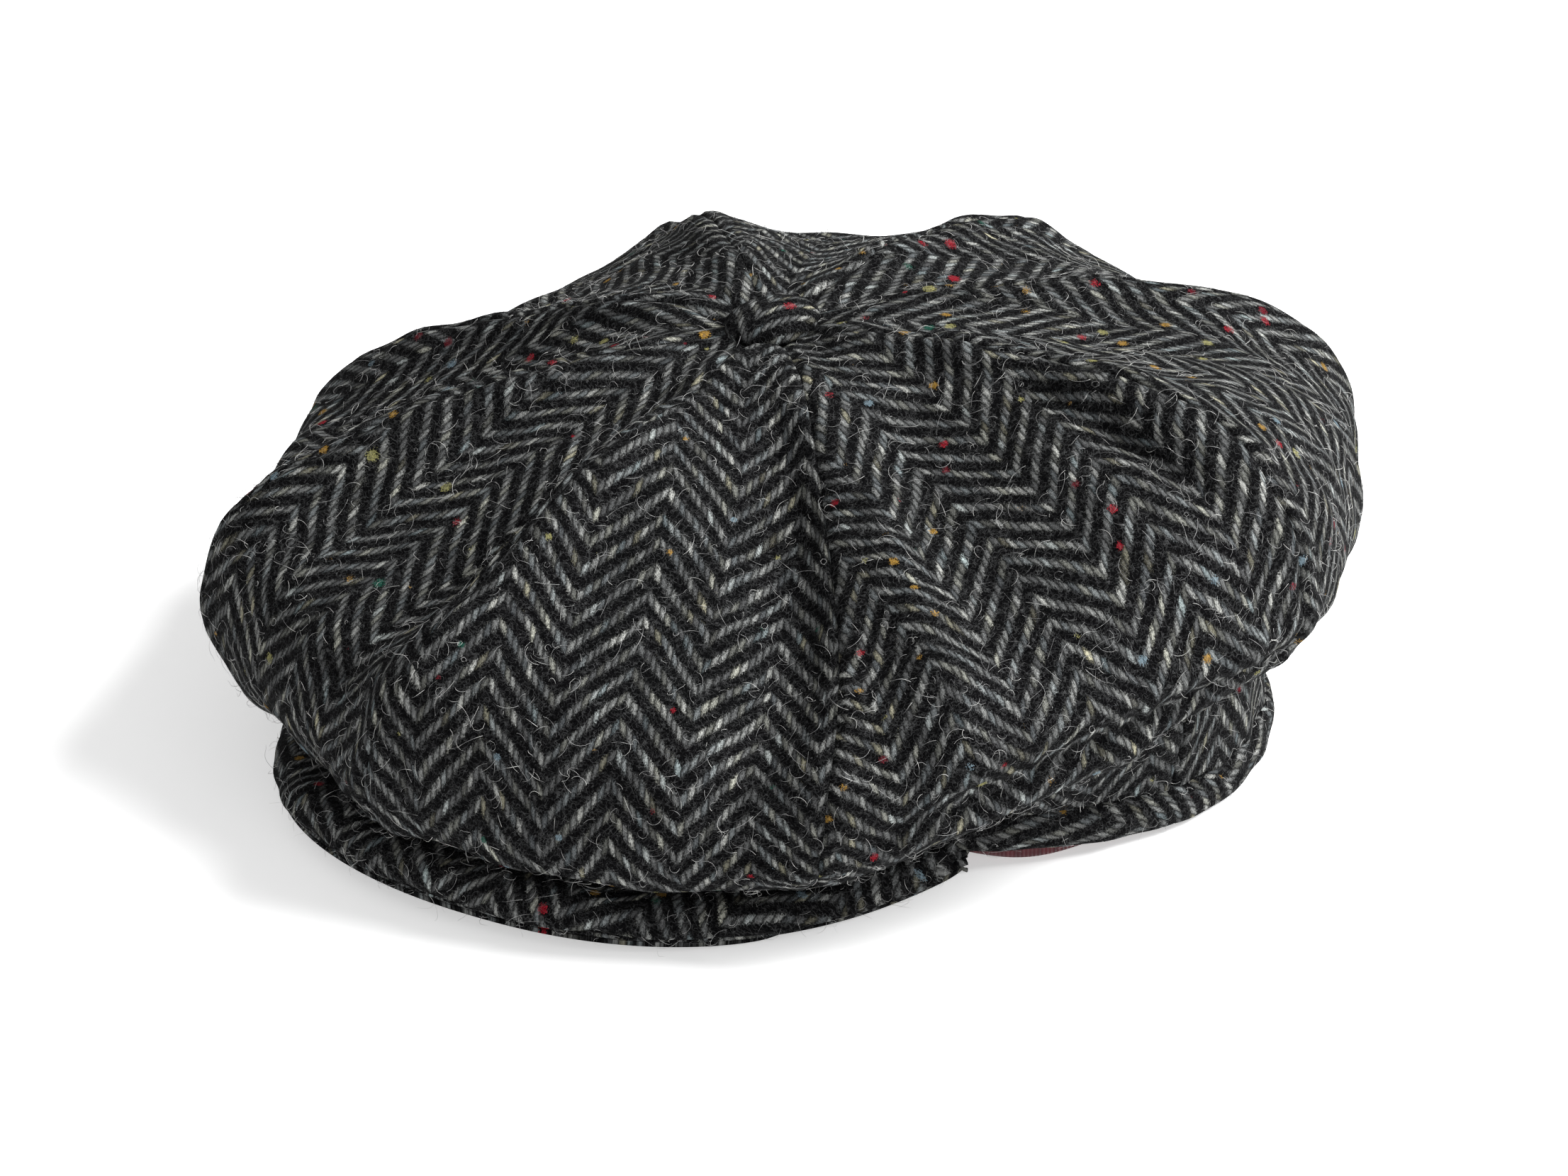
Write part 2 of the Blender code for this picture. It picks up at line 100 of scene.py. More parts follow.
# crown ribs: heights at 30 mm and 62 mm from the button, (reach, height) of the
# shoulder and of the widest point, and the height of the tuck under the crown
RIB_INNER_REACH = 30.0
RIB_OUTER_REACH = 62.0
CROWN_RIM_REACH = 4.0
CROWN_RIM_Z = 94.0
SEAMS = (
    (92.0, 86.0, (92.0, 70.0), (124.0, 32.0), 15.5),      # front centre
    (95.0, 79.0, (97.0, 62.0), (122.0, 30.0), 16.0),
    (101.0, 103.0, (104.0, 101.0), (132.0, 63.0), 34.0),  # wearer's left
    (100.0, 101.0, (101.0, 95.0), (134.0, 60.0), 31.0),
    (98.0, 98.0, (97.0, 90.0), (131.0, 48.0), 22.0),      # back centre
    (99.0, 97.0, (94.0, 85.0), (130.0, 44.0), 18.0),
    (95.0, 86.0, (102.0, 69.0), (127.0, 41.0), 15.0),     # wearer's right
    (94.0, 88.0, (98.0, 75.0), (128.0, 42.0), 15.5),
)
# degrees that each rib swings aside, fully so from this share of its length on
RIB_SWING = (-11.0, -8.0, 0.0, 0.0, -5.0, 0.0, 0.0, -2.0)
SWING_END = 0.62
# each panel's sag between its ribs, and its share down and in at each rib point
PANEL_SAG = (4.0, 9.0, 8.0, 9.0, 8.0, 8.0, 12.0, 12.0)
SAG_DOWN = (0.0, 0.3, 0.9, 1.0, 0.5, 0.0, 0.0, 0.0, 0.0, 0.0)
SAG_IN = (0.0, 0.0, 0.0, 0.3, 0.7, 0.6, 0.4, 0.2, 0.0, 0.0)
# how far the tuck lies inside each rib's widest point, and outside the band
TUCK_REACH = (14.0, 19.0, 26.0, 22.0, 16.0, 14.0, 14.0, 14.0)
TUCK_CLEARANCE = 4.0
SLUMP_BEARING = 20.0    # the crown slumps onto the peak around this bearing
SLUMP_SPAN = 52.0
CROWN_RIPPLE = 0.7
SEAM_ALLOWANCE = 4.0    # width of the turned cloth that raises each side of a seam
SEAM_RISE = 0.7
GROOVE_DEPTH = 1.3
GROOVE_WIDTH = 1.1
REST_GAP = 0.3          # between the crown and the peak that it lies on
WEAVE_TURN = (11.0, 5.0, 0.0, 0.0, 0.0, 0.0, 0.0, 3.0)  # each gore's grain, off its centre line
CROWN_ACROSS = 48
CROWN_ALONG = 150

LINING_GORES = 4
LINING_THICKNESS = 0.8
LINING_INSET = 5.2
LINING_SHARES = (0.07, 0.50)    # the part of the crown's length that it lines closely
LINING_TRIM = 0.5               # degrees left free at each seam
LINING_SAG = 3.0
LINING_SLACK = 1.1

# the peak lies a little askew: its outline is a superellipse about its own centre
PEAK_CENTRE = BAND_CENTRE + (-6.9, -43.4)
PEAK_YAW = radians(4.9)
PEAK_HALF_WIDTHS = (87.3, 82.3)         # to the wearer's right and left
PEAK_REACH = 98.2
PEAK_SQUARENESS = 2.14
PEAK_SPAN = (-88.0, 73.0)               # outline parameter, in degrees
PEAK_ROOT_BEARINGS = (-58.0, 44.0)
PEAK_ARCH = 5.6         # the middle of the peak stands this much higher
PEAK_TILT = -2.3        # and its wearer's right side higher than its left
PEAK_TOP = 7.6          # height of the soft upper cover above the underside
PEAK_ROLL = 5.0         # radius of its rolled edge
PEAK_PLY = 1.2
PEAK_ROOT_GAP = 0.3             # from the head oval to its root
PEAK_RIPPLE = 0.3
PEAK_NARROW_SPAN = 16.0         # where it is shallower than this, its edge narrows too
UPPER_SEAM_Z = 1.9              # outer faces of the two covers where they meet
UNDER_SEAM_Z = 0.7
PEAK_STATIONS = 181
PEAK_END_STATIONS = 14
PEAK_TIPS = (-95.0, 77.0)                # where the covers close, past the board's ends
PEAK_TIP_BEARINGS = (-62.0, 45.0)

BUTTON_BASE_Z = 95.0
BUTTON_RADIUS = 10.5
BUTTON_RISE = 5.0
BUTTON_TILT = (radians(8.0), radians(-6.0))

# loose wool fibres that stand out of the nap
FIBRE_COUNT = 9000
FIBRE_RINGS = 7
FIBRE_RADIUS = 0.045
FIBRE_SEED = 77

# camera and lights: bearings and elevations in degrees, distances and sizes in metres
CAMERA = (32.5, 25.0, 1.2)
VIEW_WIDTH = 0.35392    # metres across the view at the cap
AIM = (0.0, -14.6, 30.0)    # millimetres from the head oval's middle
LIGHTS = (              # name, bearing, elevation, distance, size, watts
    ("key", 122.0, 47.0, 1.5, 0.8, 46.0),
    ("fill", -15.0, 38.0, 2.0, 1.6, 4.0),
    ("low", 52.0, 13.0, 1.8, 1.2, 7.0),
)
WORLD_STRENGTH = 0.35
FLOOR_HALF_WIDTH = 6.0
FLOOR_GLOW = 0.46       # painted light: the floor glows though it is no lamp, so that its shadows stay pale and the cap's undersides are lit from below

# tweed: pitches of the two yarns, and how many warp ends make one stripe
WARP_PITCH = 1.45
WEFT_PITCH = 1.6
STRIPE_ENDS = 10.0
ROPE_PICKS = 4.0        # picks from one twill rope to the next
WANDER = 2.2            # how far the yarns stray from their place
HAIRY_EDGE = 0.9        # and how ragged their edges are
FLOAT_LEAN = 0.15       # how far each warp float leans along its twill rope
ROPE_WIDTH = 1.02       # half width of a rope of floats, in picks
HAIR_COVER = 0.38
HAIR_COLOUR = (0.17, 0.173, 0.175, 1.0)
HAIR_LAYERS = (         # curls to the millimetre, shift and share of width of each layer
    (0.55, 0.0, 0.024),
    (0.70, 41.0, 0.028),
    (0.46, 83.0, 0.020),
    (0.86, 127.0, 0.034),
    (0.62, 171.0, 0.028),
)
FLECK_SCALE = 0.125     # cells to the millimetre, each with one nep at most
FLECK_SIZE = 0.11
FLECK_SHARE = 0.85

# seeds of each piece's yarns in the weave
BAND_SEED, SWEATBAND_SEED, PEAK_SEEDS, BUTTON_SEED = 3, 4, (5, 6), 7


# ------------------------------------------------------------- shape functions
def smooth_step(x):
    x = np.clip(x, 0.0, 1.0)
    return x * x * (3.0 - 2.0 * x)


def hermite(a, b, c, d, f):
    """Catmull-Rom blend of four neighbouring values."""
    return 0.5 * (2 * b + (c - a) * f + (2 * a - 5 * b + 4 * c - d) * f**2
                  + (3 * b - a - 3 * c + d) * f**3)


def around(values, step):
    """Smooth closed curve through one value, or row of values, per seam."""
    values = np.asarray(values, dtype=float)
    i = np.floor(step).astype(int)
    f = (step - i).reshape(step.shape + (1,) * (values.ndim - 1))
    a, b, c, d = (values[(i + k) % len(values)] for k in (-1, 0, 1, 2))
    return hermite(a, b, c, d, f)


def down(points, v):
    """Smooth open curve: points (n, count, 2) read at shares v (n, m)."""
    first = 2 * points[:, :1] - points[:, 1:2]
    last = 2 * points[:, -1:] - points[:, -2:-1]
    padded = np.concatenate([first, points, last], axis=1)
    spans = points.shape[1] - 1
    t = np.clip(v, 0.0, 1.0) * spans
    i = np.clip(np.floor(t).astype(int), 0, spans - 1)
    f = (t - i)[..., None]
    row = np.arange(points.shape[0])[:, None]
    a, b, c, d = (padded[row, i + k] for k in range(4))
    return hermite(a, b, c, d, f)


def bearing_vector(bearing):
    angle = np.radians(bearing)
    return np.stack([np.sin(angle), -np.cos(angle)], axis=-1)


def band_lift(bearing):
    return BAND_FRONT_LIFT * np.maximum(0.0, np.cos(np.radians(bearing))) ** 1.6


def band_point(bearing, inset, z):
    """Points on the head oval, moved inwards by an inset."""
    angle = np.radians(bearing)
    x = BAND_CENTRE[0] + (BAND_HALF_WIDTH - inset) * np.sin(angle)
    y = BAND_CENTRE[1] - (BAND_HALF_LENGTH - inset) * np.cos(angle)
    return np.stack([x, y, z + 0.0 * x], axis=-1)


def band_reach(bearing, inset=0.0):
    """Distance in plan from the button to the head oval."""
    x, y = np.moveaxis(bearing_vector(bearing), -1, 0)
    width = BAND_HALF_WIDTH - inset
    length = BAND_HALF_LENGTH - inset
    offset = BUTTON_CENTRE[1] - BAND_CENTRE[1]
    a = (x / width) ** 2 + (y / length) ** 2
    b = y * offset / length**2
    c = (offset / length) ** 2 - 1.0
    return (-b + np.sqrt(b * b - a * c)) / a


def rib_profiles():
    """(reach, height) points of the eight ribs, from the button to the tuck."""
    ribs = []
    for k, (inner_z, outer_z, shoulder, widest, tuck_z) in enumerate(SEAMS):
        shoulder_r, shoulder_z = shoulder
        wide_r, wide_z = widest
        tuck_r = max(wide_r - TUCK_REACH[k], float(band_reach(k * PANEL_STEP)) + TUCK_CLEARANCE)
        ribs.append([
            (CROWN_RIM_REACH, CROWN_RIM_Z),
            (RIB_INNER_REACH, inner_z),
            (RIB_OUTER_REACH, outer_z),
            shoulder,
            (shoulder_r + 0.8 * (wide_r - shoulder_r), wide_z + 0.55 * (shoulder_z - wide_z)),
            widest,
            (wide_r - 3.0, wide_z - 0.55 * (wide_z - tuck_z)),
            (tuck_r, tuck_z),
        ])
    return np.array(ribs)


RIBS = rib_profiles()


def slump(profile, bearing):
    """Lets the front of the crown sink until it rests on the peak."""
    turned = (bearing - SLUMP_BEARING + 180.0) % 360.0 - 180.0
    weight = smooth_step(1.4 * (1.0 - np.abs(turned) / SLUMP_SPAN))
    sunk = profile.copy()
    sunk[:, 5, 1] -= 1.0
    sunk[:, 6] = profile[:, 5] - (1.0, 9.0)
    sunk[:, 7, 0] = np.maximum(profile[:, 5, 0] - 8.0, profile[:, 7, 0])
    sunk[:, 7, 1] = profile[:, 7, 1] + 1.0
    return profile + weight[:, None, None] * (sunk - profile)


def peak_lift(sine):
    """Height of the peak's underside where the sine of tau is given."""
    return np.maximum(0.0, (PEAK_ARCH + 2.0 * PEAK_TILT * sine) * (1.0 - sine**2))


def peak_top(x, y):
    """Height of the peak's upper surface, far below zero away from the peak."""
    dx, dy = x - PEAK_CENTRE[0], y - PEAK_CENTRE[1]
    across = dx * cos(PEAK_YAW) + dy * sin(PEAK_YAW)
    ahead = np.maximum(dx * sin(PEAK_YAW) - dy * cos(PEAK_YAW), 0.0)
    sideways = np.abs(across) / np.where(across < 0.0, *PEAK_HALF_WIDTHS)
    share = (sideways**PEAK_SQUARENESS
             + (ahead / PEAK_REACH) ** PEAK_SQUARENESS) ** (1.0 / PEAK_SQUARENESS)
    share = np.maximum(share, 1e-6)
    sine = np.clip(sideways / share, 0.0, 1.0) ** (0.5 * PEAK_SQUARENESS)
    reach = np.hypot(dx, dy) / share
    inset = np.clip((1.0 - share) * reach / PEAK_ROLL, 0.0, 1.0)
    edge = np.sqrt(1.0 - (1.0 - inset) ** 2)
    top = peak_lift(np.sign(across) * sine) + PEAK_TOP - PEAK_ROLL * (1.0 - edge)
    return np.where((share < 1.0) & (ahead > 0.0), top, -50.0)


def crown_base(bearing, v):
    """Smooth outer surface of the crown before folds and seams are added.

    bearing and v are matching (n, m) arrays; v runs from the button to the band.
    """
    step = bearing[:, 0] / PANEL_STEP
    profile = around(RIBS, step)
    turned = bearing + around(RIB_SWING, step)[:, None] * smooth_step(v / SWING_END)
    hem_bearing = turned[:, -1]
    hem_r = band_reach(hem_bearing, 0.5 * (BAND_THICKNESS - CLOTH))
    hem_z = band_lift(hem_bearing) + BAND_HEIGHT
    hem = np.stack([hem_r, hem_z], axis=-1)[:, None]
    halfway = 0.5 * (profile[:, -1:] + hem) + (0.0, 1.0)
    profile = np.concatenate([profile, halfway, hem], axis=1)
    profile = slump(profile, bearing[:, 0])
    panel = np.floor(step).astype(int) % PANELS
    sag = (np.array(PANEL_SAG)[panel] * np.abs(np.sin(pi * step)))[:, None]
    profile[..., 0] -= sag * np.array(SAG_IN)
    profile[..., 1] -= sag * np.array(SAG_DOWN)
    reach, height = np.moveaxis(down(profile, v), -1, 0)
    plan = BUTTON_CENTRE + bearing_vector(turned) * reach[..., None]
    return np.concatenate([plan, height[..., None]], axis=-1)


def unit(vectors):
    return vectors / np.maximum(np.linalg.norm(vectors, axis=-1, keepdims=True), 1e-9)


def grid_normals(grid):
    """Outward unit normals of a point grid (across, along, 3)."""
    return unit(np.cross(np.gradient(grid, axis=1), np.gradient(grid, axis=0)))


# --------------------------------------------------------------- mesh builders
def mesh_object(name, verts, faces, mat, weave=None):
    """Object in metres from vertices in millimetres, riding on the cap's body."""
    mesh = bpy.data.meshes.new(name)
    mesh.from_pydata((np.asarray(verts) * MM).tolist(), [], faces)
    if weave is not None:
        layer = mesh.attributes.new("weave", "FLOAT_VECTOR", "POINT")
        layer.data.foreach_set("vector", np.asarray(weave, dtype=np.float32).ravel())
    mesh.materials.append(mat)
    mesh.shade_smooth()
    obj = bpy.data.objects.new(name, mesh)
    bpy.context.scene.collection.objects.link(obj)
    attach(obj, BODY)
    return obj


def sheet_faces(rows, cols):
    """Faces of a closed sheet made of an upper and a lower point grid."""
    half = rows * cols
    faces = []
    for i in range(rows - 1):
        for j in range(cols - 1):
            a = i * cols + j
            b = a + cols
            faces.append((a, a + 1, b + 1, b))
            faces.append((half + a, half + b, half + b + 1, half + a + 1))
    for i in range(rows - 1):
        for j in (0, cols - 1):
            a = i * cols + j
            b = a + cols
            edge = (a, b, half + b, half + a)
            faces.append(edge if j == 0 else edge[::-1])
    for j in range(cols - 1):
        for i in (0, rows - 1):
            a = i * cols + j
            edge = (a, half + a, half + a + 1, a + 1)
            faces.append(edge if i == 0 else edge[::-1])
    return faces


def arc_lengths(grid, axis):
    """Running length along a grid's rows (axis 0) or columns (axis 1)."""
    step = np.linalg.norm(np.diff(grid, axis=axis), axis=-1)
    total = np.cumsum(step, axis=axis)
    pad = [(0, 0), (0, 0)]
    pad[axis] = (1, 0)
    return np.pad(total, pad)


# springs pull a pattern flat over long links first, then over short ones
FLATTEN_STRIDES = (8, 4, 2, 1)
FLATTEN_PASSES = 60
FLATTEN_PULL = 1.2


def links(grid, di, dj):
    """The two slices of a grid that a link of a given stride joins."""
    rows, cols = grid.shape[:2]
    a = grid[max(0, -di):rows - max(0, di), max(0, -dj):cols - max(0, dj)]
    b = grid[max(0, di):rows - max(0, -di), max(0, dj):cols - max(0, -dj)]
    return a, b


def spin(turn):
    return np.array([[cos(turn), sin(turn)], [-sin(turn), cos(turn)]])


def flatten(grid):
    """Lays a curved grid flat with little stretch, as its cloth was cut.

    The first guess drops each point square onto the centre line; then springs
    along the rows, columns and diagonals pull every link to its true length.
    """
    middle = len(grid) // 2
    across = arc_lengths(grid, 0)
    across = across - across[middle]
    centre = grid[middle]
    along = arc_lengths(grid, 1)[middle]
    gaps = np.linalg.norm(grid[:, :, None] - centre[None, None], axis=-1)
    foot = along[np.argmin(gaps, axis=2)]
    shift = np.clip(foot - along, -0.9 * np.abs(across), 0.9 * np.abs(across))
    flat = np.stack([np.sign(across) * np.sqrt(across**2 - shift**2), along + shift], axis=-1)
    for stride in FLATTEN_STRIDES:
        steps = [(stride, 0), (0, stride), (stride, stride), (stride, -stride)]
        rests = []
        for di, dj in steps:
            a, b = links(grid, di, dj)
            rests.append(np.linalg.norm(b - a, axis=-1))
        for _ in range(FLATTEN_PASSES):
            move = np.zeros_like(flat)
            count = np.zeros(flat.shape[:2])
            for (di, dj), rest in zip(steps, rests):
                a, b = links(flat, di, dj)
                gap = b - a
                length = np.maximum(np.linalg.norm(gap, axis=-1), 1e-6)
                pull = gap * (0.5 * (length - rest) / length)[..., None]
                move_a, move_b = links(move, di, dj)
                count_a, count_b = links(count, di, dj)
                move_a += pull
                move_b -= pull
                count_a += 1.0
                count_b += 1.0
            flat += FLATTEN_PULL * move / np.maximum(count, 1.0)[..., None]
    axis = flat[middle, -1] - flat[middle, len(along) // 4]
    flat = flat @ spin(atan2(axis[0], axis[1]))
    return flat - (flat[middle].mean(axis=0)[0], flat[middle, 0, 1])


def turned_flat(flat, degrees):
    """Turns a flat pattern about its middle, as a gore cut off the grain."""
    pivot = (0.0, 0.5 * flat[..., 1].max())
    return (flat - pivot) @ spin(radians(degrees)) + pivot


def weave_of(flat, seed):
    """The cloth's own coordinates over a flat pattern, with a seed for its yarns."""
    return np.concatenate([flat, np.full(flat.shape[:2] + (1,), float(seed))], axis=-1)


def sew(name, grid, inwards, thickness, cloth, weave, flat, node):
    """Puts a closed sheet of cloth in place of one piece of the cap.

    It is made from its outer grid and the direction of its inside. The area of the outline that
    its cloth was cut to is worked out, but not used.
    """
    verts = np.stack([grid, grid + inwards * thickness]).reshape(-1, 3)
    both = np.stack([weave, weave]).reshape(-1, 3)
    obj = mesh_object(name, verts, sheet_faces(*grid.shape[:2]), cloth, both)
    bm = bmesh.new()
    bm.from_mesh(obj.data)
    bmesh.ops.recalc_face_normals(bm, faces=bm.faces)
    bm.to_mesh(obj.data)
    bm.free()

    one = flat[1:, 1:] - flat[:-1, :-1]
    two = flat[:-1, 1:] - flat[1:, :-1]
    area = 0.5 * np.abs(one[..., 0] * two[..., 1] - one[..., 1] * two[..., 0]).sum()
    width, length = (float(s) * MM for s in np.ptp(flat.reshape(-1, 2), axis=0))
    area = min(float(area) * MM * MM, width * length)
    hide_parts(node)


def waves(points, seed, longest, shortest, count=26):
    """Smooth random field between about -1 and 1 at points in space."""
    rng = np.random.default_rng(seed)
    total = np.zeros(points.shape[:-1])
    for _ in range(count):
        way = rng.normal(size=3)
        way /= np.linalg.norm(way)
        length = longest * (shortest / longest) ** rng.random()
        total += np.sin(points @ way * (2.0 * pi / length) + rng.random() * 2.0 * pi)
    return total / (0.5 * count) ** 0.5 * 0.7


def smooth_path(points, count):
    """Smooth curve through a few points, read at evenly spaced shares."""
    points = np.asarray(points, dtype=float)
    if points.ndim == 2:
        points = points[None]
    shares = np.repeat(np.linspace(0.0, 1.0, count)[None], len(points), axis=0)
    return down(points, shares)


# ------------------------------------------------------------------- materials
class Graph:
    """A material's node tree, built from small expressions."""

    def __init__(self, name):
        self.mat = bpy.data.materials.new(name)
        self.mat.use_nodes = True
        self.tree = self.mat.node_tree
        self.shader = self.tree.nodes["Principled BSDF"]

    def node(self, kind, **inputs):
        made = self.tree.nodes.new(kind)
        for key, value in inputs.items():
            self.connect(value, made.inputs[key])
        return made

    def connect(self, value, socket):
        if isinstance(value, bpy.types.NodeSocket):
            self.tree.links.new(value, socket)
        else:
            socket.default_value = value

    def math(self, operation, *values, clamp=False):
        made = self.tree.nodes.new("ShaderNodeMath")
        made.operation = operation
        made.use_clamp = clamp
        for socket, value in zip(made.inputs, values):
            self.connect(value, socket)
        return made.outputs[0]

    add = partialmethod(math, "ADD")
    sub = partialmethod(math, "SUBTRACT")
    mul = partialmethod(math, "MULTIPLY")
    div = partialmethod(math, "DIVIDE")

    def vector(self, x, y, z=0.0):
        made = self.tree.nodes.new("ShaderNodeCombineXYZ")
        for socket, value in zip(made.inputs, (x, y, z)):
            self.connect(value, socket)
        return made.outputs[0]

    def split(self, vector):
        made = self.tree.nodes.new("ShaderNodeSeparateXYZ")
        self.connect(vector, made.inputs[0])
        return made.outputs

    def noise(self, vector, scale, detail=2.0, roughness=0.5):
        made = self.tree.nodes.new("ShaderNodeTexNoise")
        self.connect(vector, made.inputs["Vector"])
        made.inputs["Scale"].default_value = scale
        made.inputs["Detail"].default_value = detail
        made.inputs["Roughness"].default_value = roughness
        return made.outputs

    def random(self, vector):
        made = self.tree.nodes.new("ShaderNodeTexWhiteNoise")
        made.noise_dimensions = "3D"
        self.connect(vector, made.inputs["Vector"])
        return made.outputs

    def mix(self, factor, a, b, blend="MIX"):
        made = self.tree.nodes.new("ShaderNodeMix")
        made.data_type = "RGBA"
        made.blend_type = blend
        find = {s.identifier: s for s in list(made.inputs) + list(made.outputs)}
        self.connect(factor, find["Factor_Float"])
        self.connect(a, find["A_Color"])
        self.connect(b, find["B_Color"])
        return find["Result_Color"]

    def tint(self, a, b):
        return self.mix(1.0, a, b, "MULTIPLY")

    def ramp(self, factor, stops, interpolation="LINEAR"):
        made = self.tree.nodes.new("ShaderNodeValToRGB")
        made.color_ramp.interpolation = interpolation
        elements = made.color_ramp.elements
        while len(elements) < len(stops):
            elements.new(0.5)
        for element, (position, colour) in zip(elements, stops):
            element.position = position
            # a bare number is a grey
            element.color = (*(colour if isinstance(colour, tuple) else (colour,) * 3), 1.0)
        self.connect(factor, made.inputs["Fac"])
        return made.outputs["Color"]

    def bump(self, height, distance, strength):
        made = self.node("ShaderNodeBump", Height=height)
        made.inputs["Distance"].default_value = distance
        made.inputs["Strength"].default_value = strength
        self.connect(made.outputs["Normal"], self.shader.inputs["Normal"])

    def surface(self, **inputs):
        """Sets or links inputs of the shader, named with _ for each space."""
        for key, value in inputs.items():
            self.connect(value, self.shader.inputs[key.replace("_", " ")])


def weave_coordinates(graph):
    """The cloth's own coordinates in millimetres: across, along, and a seed."""
    attribute = graph.tree.nodes.new("ShaderNodeAttribute")
    attribute.attribute_name = "weave"
    return attribute.outputs["Vector"]


FLECKS = (
    (0.00, (0.210, 0.010, 0.018)),  # crimson
    (0.20, (0.260, 0.150, 0.030)),  # mustard
    (0.46, (0.220, 0.210, 0.085)),  # dull yellow
    (0.66, (0.130, 0.180, 0.210)),  # pale blue
    (0.80, (0.100, 0.008, 0.014)),  # dark red
    (0.92, (0.012, 0.070, 0.048)),  # bottle green
)
# the grey warp is blended from wools of slightly different casts
YARN_CASTS = (
    (0.00, 1.00),
    (0.45, (0.94, 1.00, 1.04)),
    (0.65, (1.03, 1.02, 0.93)),
    (0.82, 1.00),
    (0.93, (1.10, 1.03, 0.78)),
    (0.97, (0.86, 1.00, 1.06)),
)


def tweed_material():
    """Donegal herringbone: grey warp floats laid as ropes over a black weft."""
    g = Graph("charcoal_tweed")
    cloth = weave_coordinates(g)
    across, along, seed = g.split(cloth)

    # yarns wander a little, and their edges are hairy
    wander = g.split(g.noise(cloth, 0.10, 1.0)["Color"])
    hairy = g.split(g.noise(cloth, 1.3, 3.0, 0.7)["Color"])

    def moved(value, slow, fast, pitch):
        offset = g.add(g.mul(g.sub(slow, 0.5), WANDER),
                       g.mul(g.sub(fast, 0.5), HAIRY_EDGE))
        return g.div(g.add(value, offset), pitch)

    a = moved(across, wander[0], hairy[0], WARP_PITCH)
    b = moved(along, wander[1], hairy[1], WEFT_PITCH)

    # twill ropes that turn back at each stripe; each one's middle is at phase 1
    diagonal = g.sub(b, g.math("PINGPONG", a, STRIPE_ENDS))
    rope_no = g.math("FLOOR", g.div(diagonal, ROPE_PICKS))
    phase = g.sub(diagonal, g.mul(rope_no, ROPE_PICKS))
    from_rope = g.math("MINIMUM", g.math("ABSOLUTE", g.sub(phase, 1.0)),
                       g.sub(ROPE_PICKS + 1.0, phase))
    stripe = g.math("FLOOR", g.div(a, STRIPE_ENDS))
    lean = g.sub(g.math("FLOORED_MODULO", stripe, 2.0), 0.5)

    # each rope is a row of leaning floats
    float_at = g.add(a, g.mul(g.mul(lean, FLOAT_LEAN), g.sub(phase, 1.0)))
    float_no = g.math("FLOOR", float_at)
    float_x = g.sub(float_at, float_no)
    centred = g.sub(g.mul(float_x, 2.0), 1.0)
    centred = g.add(centred, g.mul(g.sub(hairy[2], 0.5), 0.5))
    edge = g.math("MINIMUM", g.math("ABSOLUTE", centred), 1.0)
    float_round = g.sub(1.0, g.mul(edge, edge))
    rope_round = g.math("MAXIMUM", g.sub(1.0, g.mul(from_rope, from_rope)), 0.0)
    rope_round = g.math("SQRT", rope_round)

    # fibres: short streaks along the yarns, and curled hairs over everything
    stretched = g.vector(g.mul(across, 4.5), g.mul(along, 1.6), seed)
    streaks = g.noise(stretched, 1.0, 3.0, 0.7)["Fac"]
    nap = g.noise(cloth, 2.4, 3.0, 0.7)["Fac"]

    def hairs(scale, shift, width):
        """Thin curled lines: the level curves of a noise."""
        shifted = g.vector(g.add(across, shift), along, seed)
        spread = g.noise(shifted, scale, 1.5, 0.4)
        level = g.math("ABSOLUTE", g.sub(spread["Fac"], 0.5))
        line = g.math("SUBTRACT", 1.0, g.div(level, width), clamp=True)
        # a hair shows for part of its length only
        shown = g.sub(g.split(spread["Color"])[1], 0.44)
        return g.mul(line, g.math("MULTIPLY", shown, 3.5, clamp=True))

    curls = hairs(*HAIR_LAYERS[0])
    for layer in HAIR_LAYERS[1:]:
        curls = g.math("MAXIMUM", curls, hairs(*layer))

    ragged = g.add(g.mul(g.sub(streaks, 0.5), 2.2), g.mul(g.sub(nap, 0.5), 2.0))
    margin = g.sub(g.add(ROPE_WIDTH, ragged), from_rope)
    cover = g.math("MULTIPLY", margin, 2.0, clamp=True)

    # colours: the warp varies float by float, the weft is nearly black
    draw = g.random(g.vector(float_no, rope_no, g.add(seed, 0.3)))
    light = g.ramp(draw["Value"], (
        (0.00, (0.055, 0.056, 0.057)),
        (0.35, (0.100, 0.103, 0.103)),
        (0.70, (0.150, 0.154, 0.151)),
        (0.90, (0.235, 0.240, 0.232)),
        (1.00, (0.380, 0.385, 0.360)),
    ))
    tone = g.ramp(streaks, ((0.28, 0.28), (0.50, 1.0), (0.72, 2.10)))
    cast = g.ramp(g.split(draw["Color"])[1], YARN_CASTS, "CONSTANT")
    light = g.tint(g.tint(light, cast), tone)
    # painted shade: each warp float's grey darkens towards its sides and each rope's towards its
    # edges, where a round yarn turns from the light and the gaps between floats lie in shade; in
    # part this is also the black weft that shows between them
    body = g.mul(g.add(0.08, g.mul(float_round, 0.92)),
                 g.add(0.45, g.mul(rope_round, 0.55)))
    light = g.tint(light, g.vector(body, body, body))
    dark = g.ramp(nap, ((0.45, (0.0015, 0.0015, 0.0017)), (0.60, (0.005, 0.005, 0.0055)),
                        (0.75, (0.024, 0.025, 0.026))))
    weave_colour = g.mix(cover, dark, light)

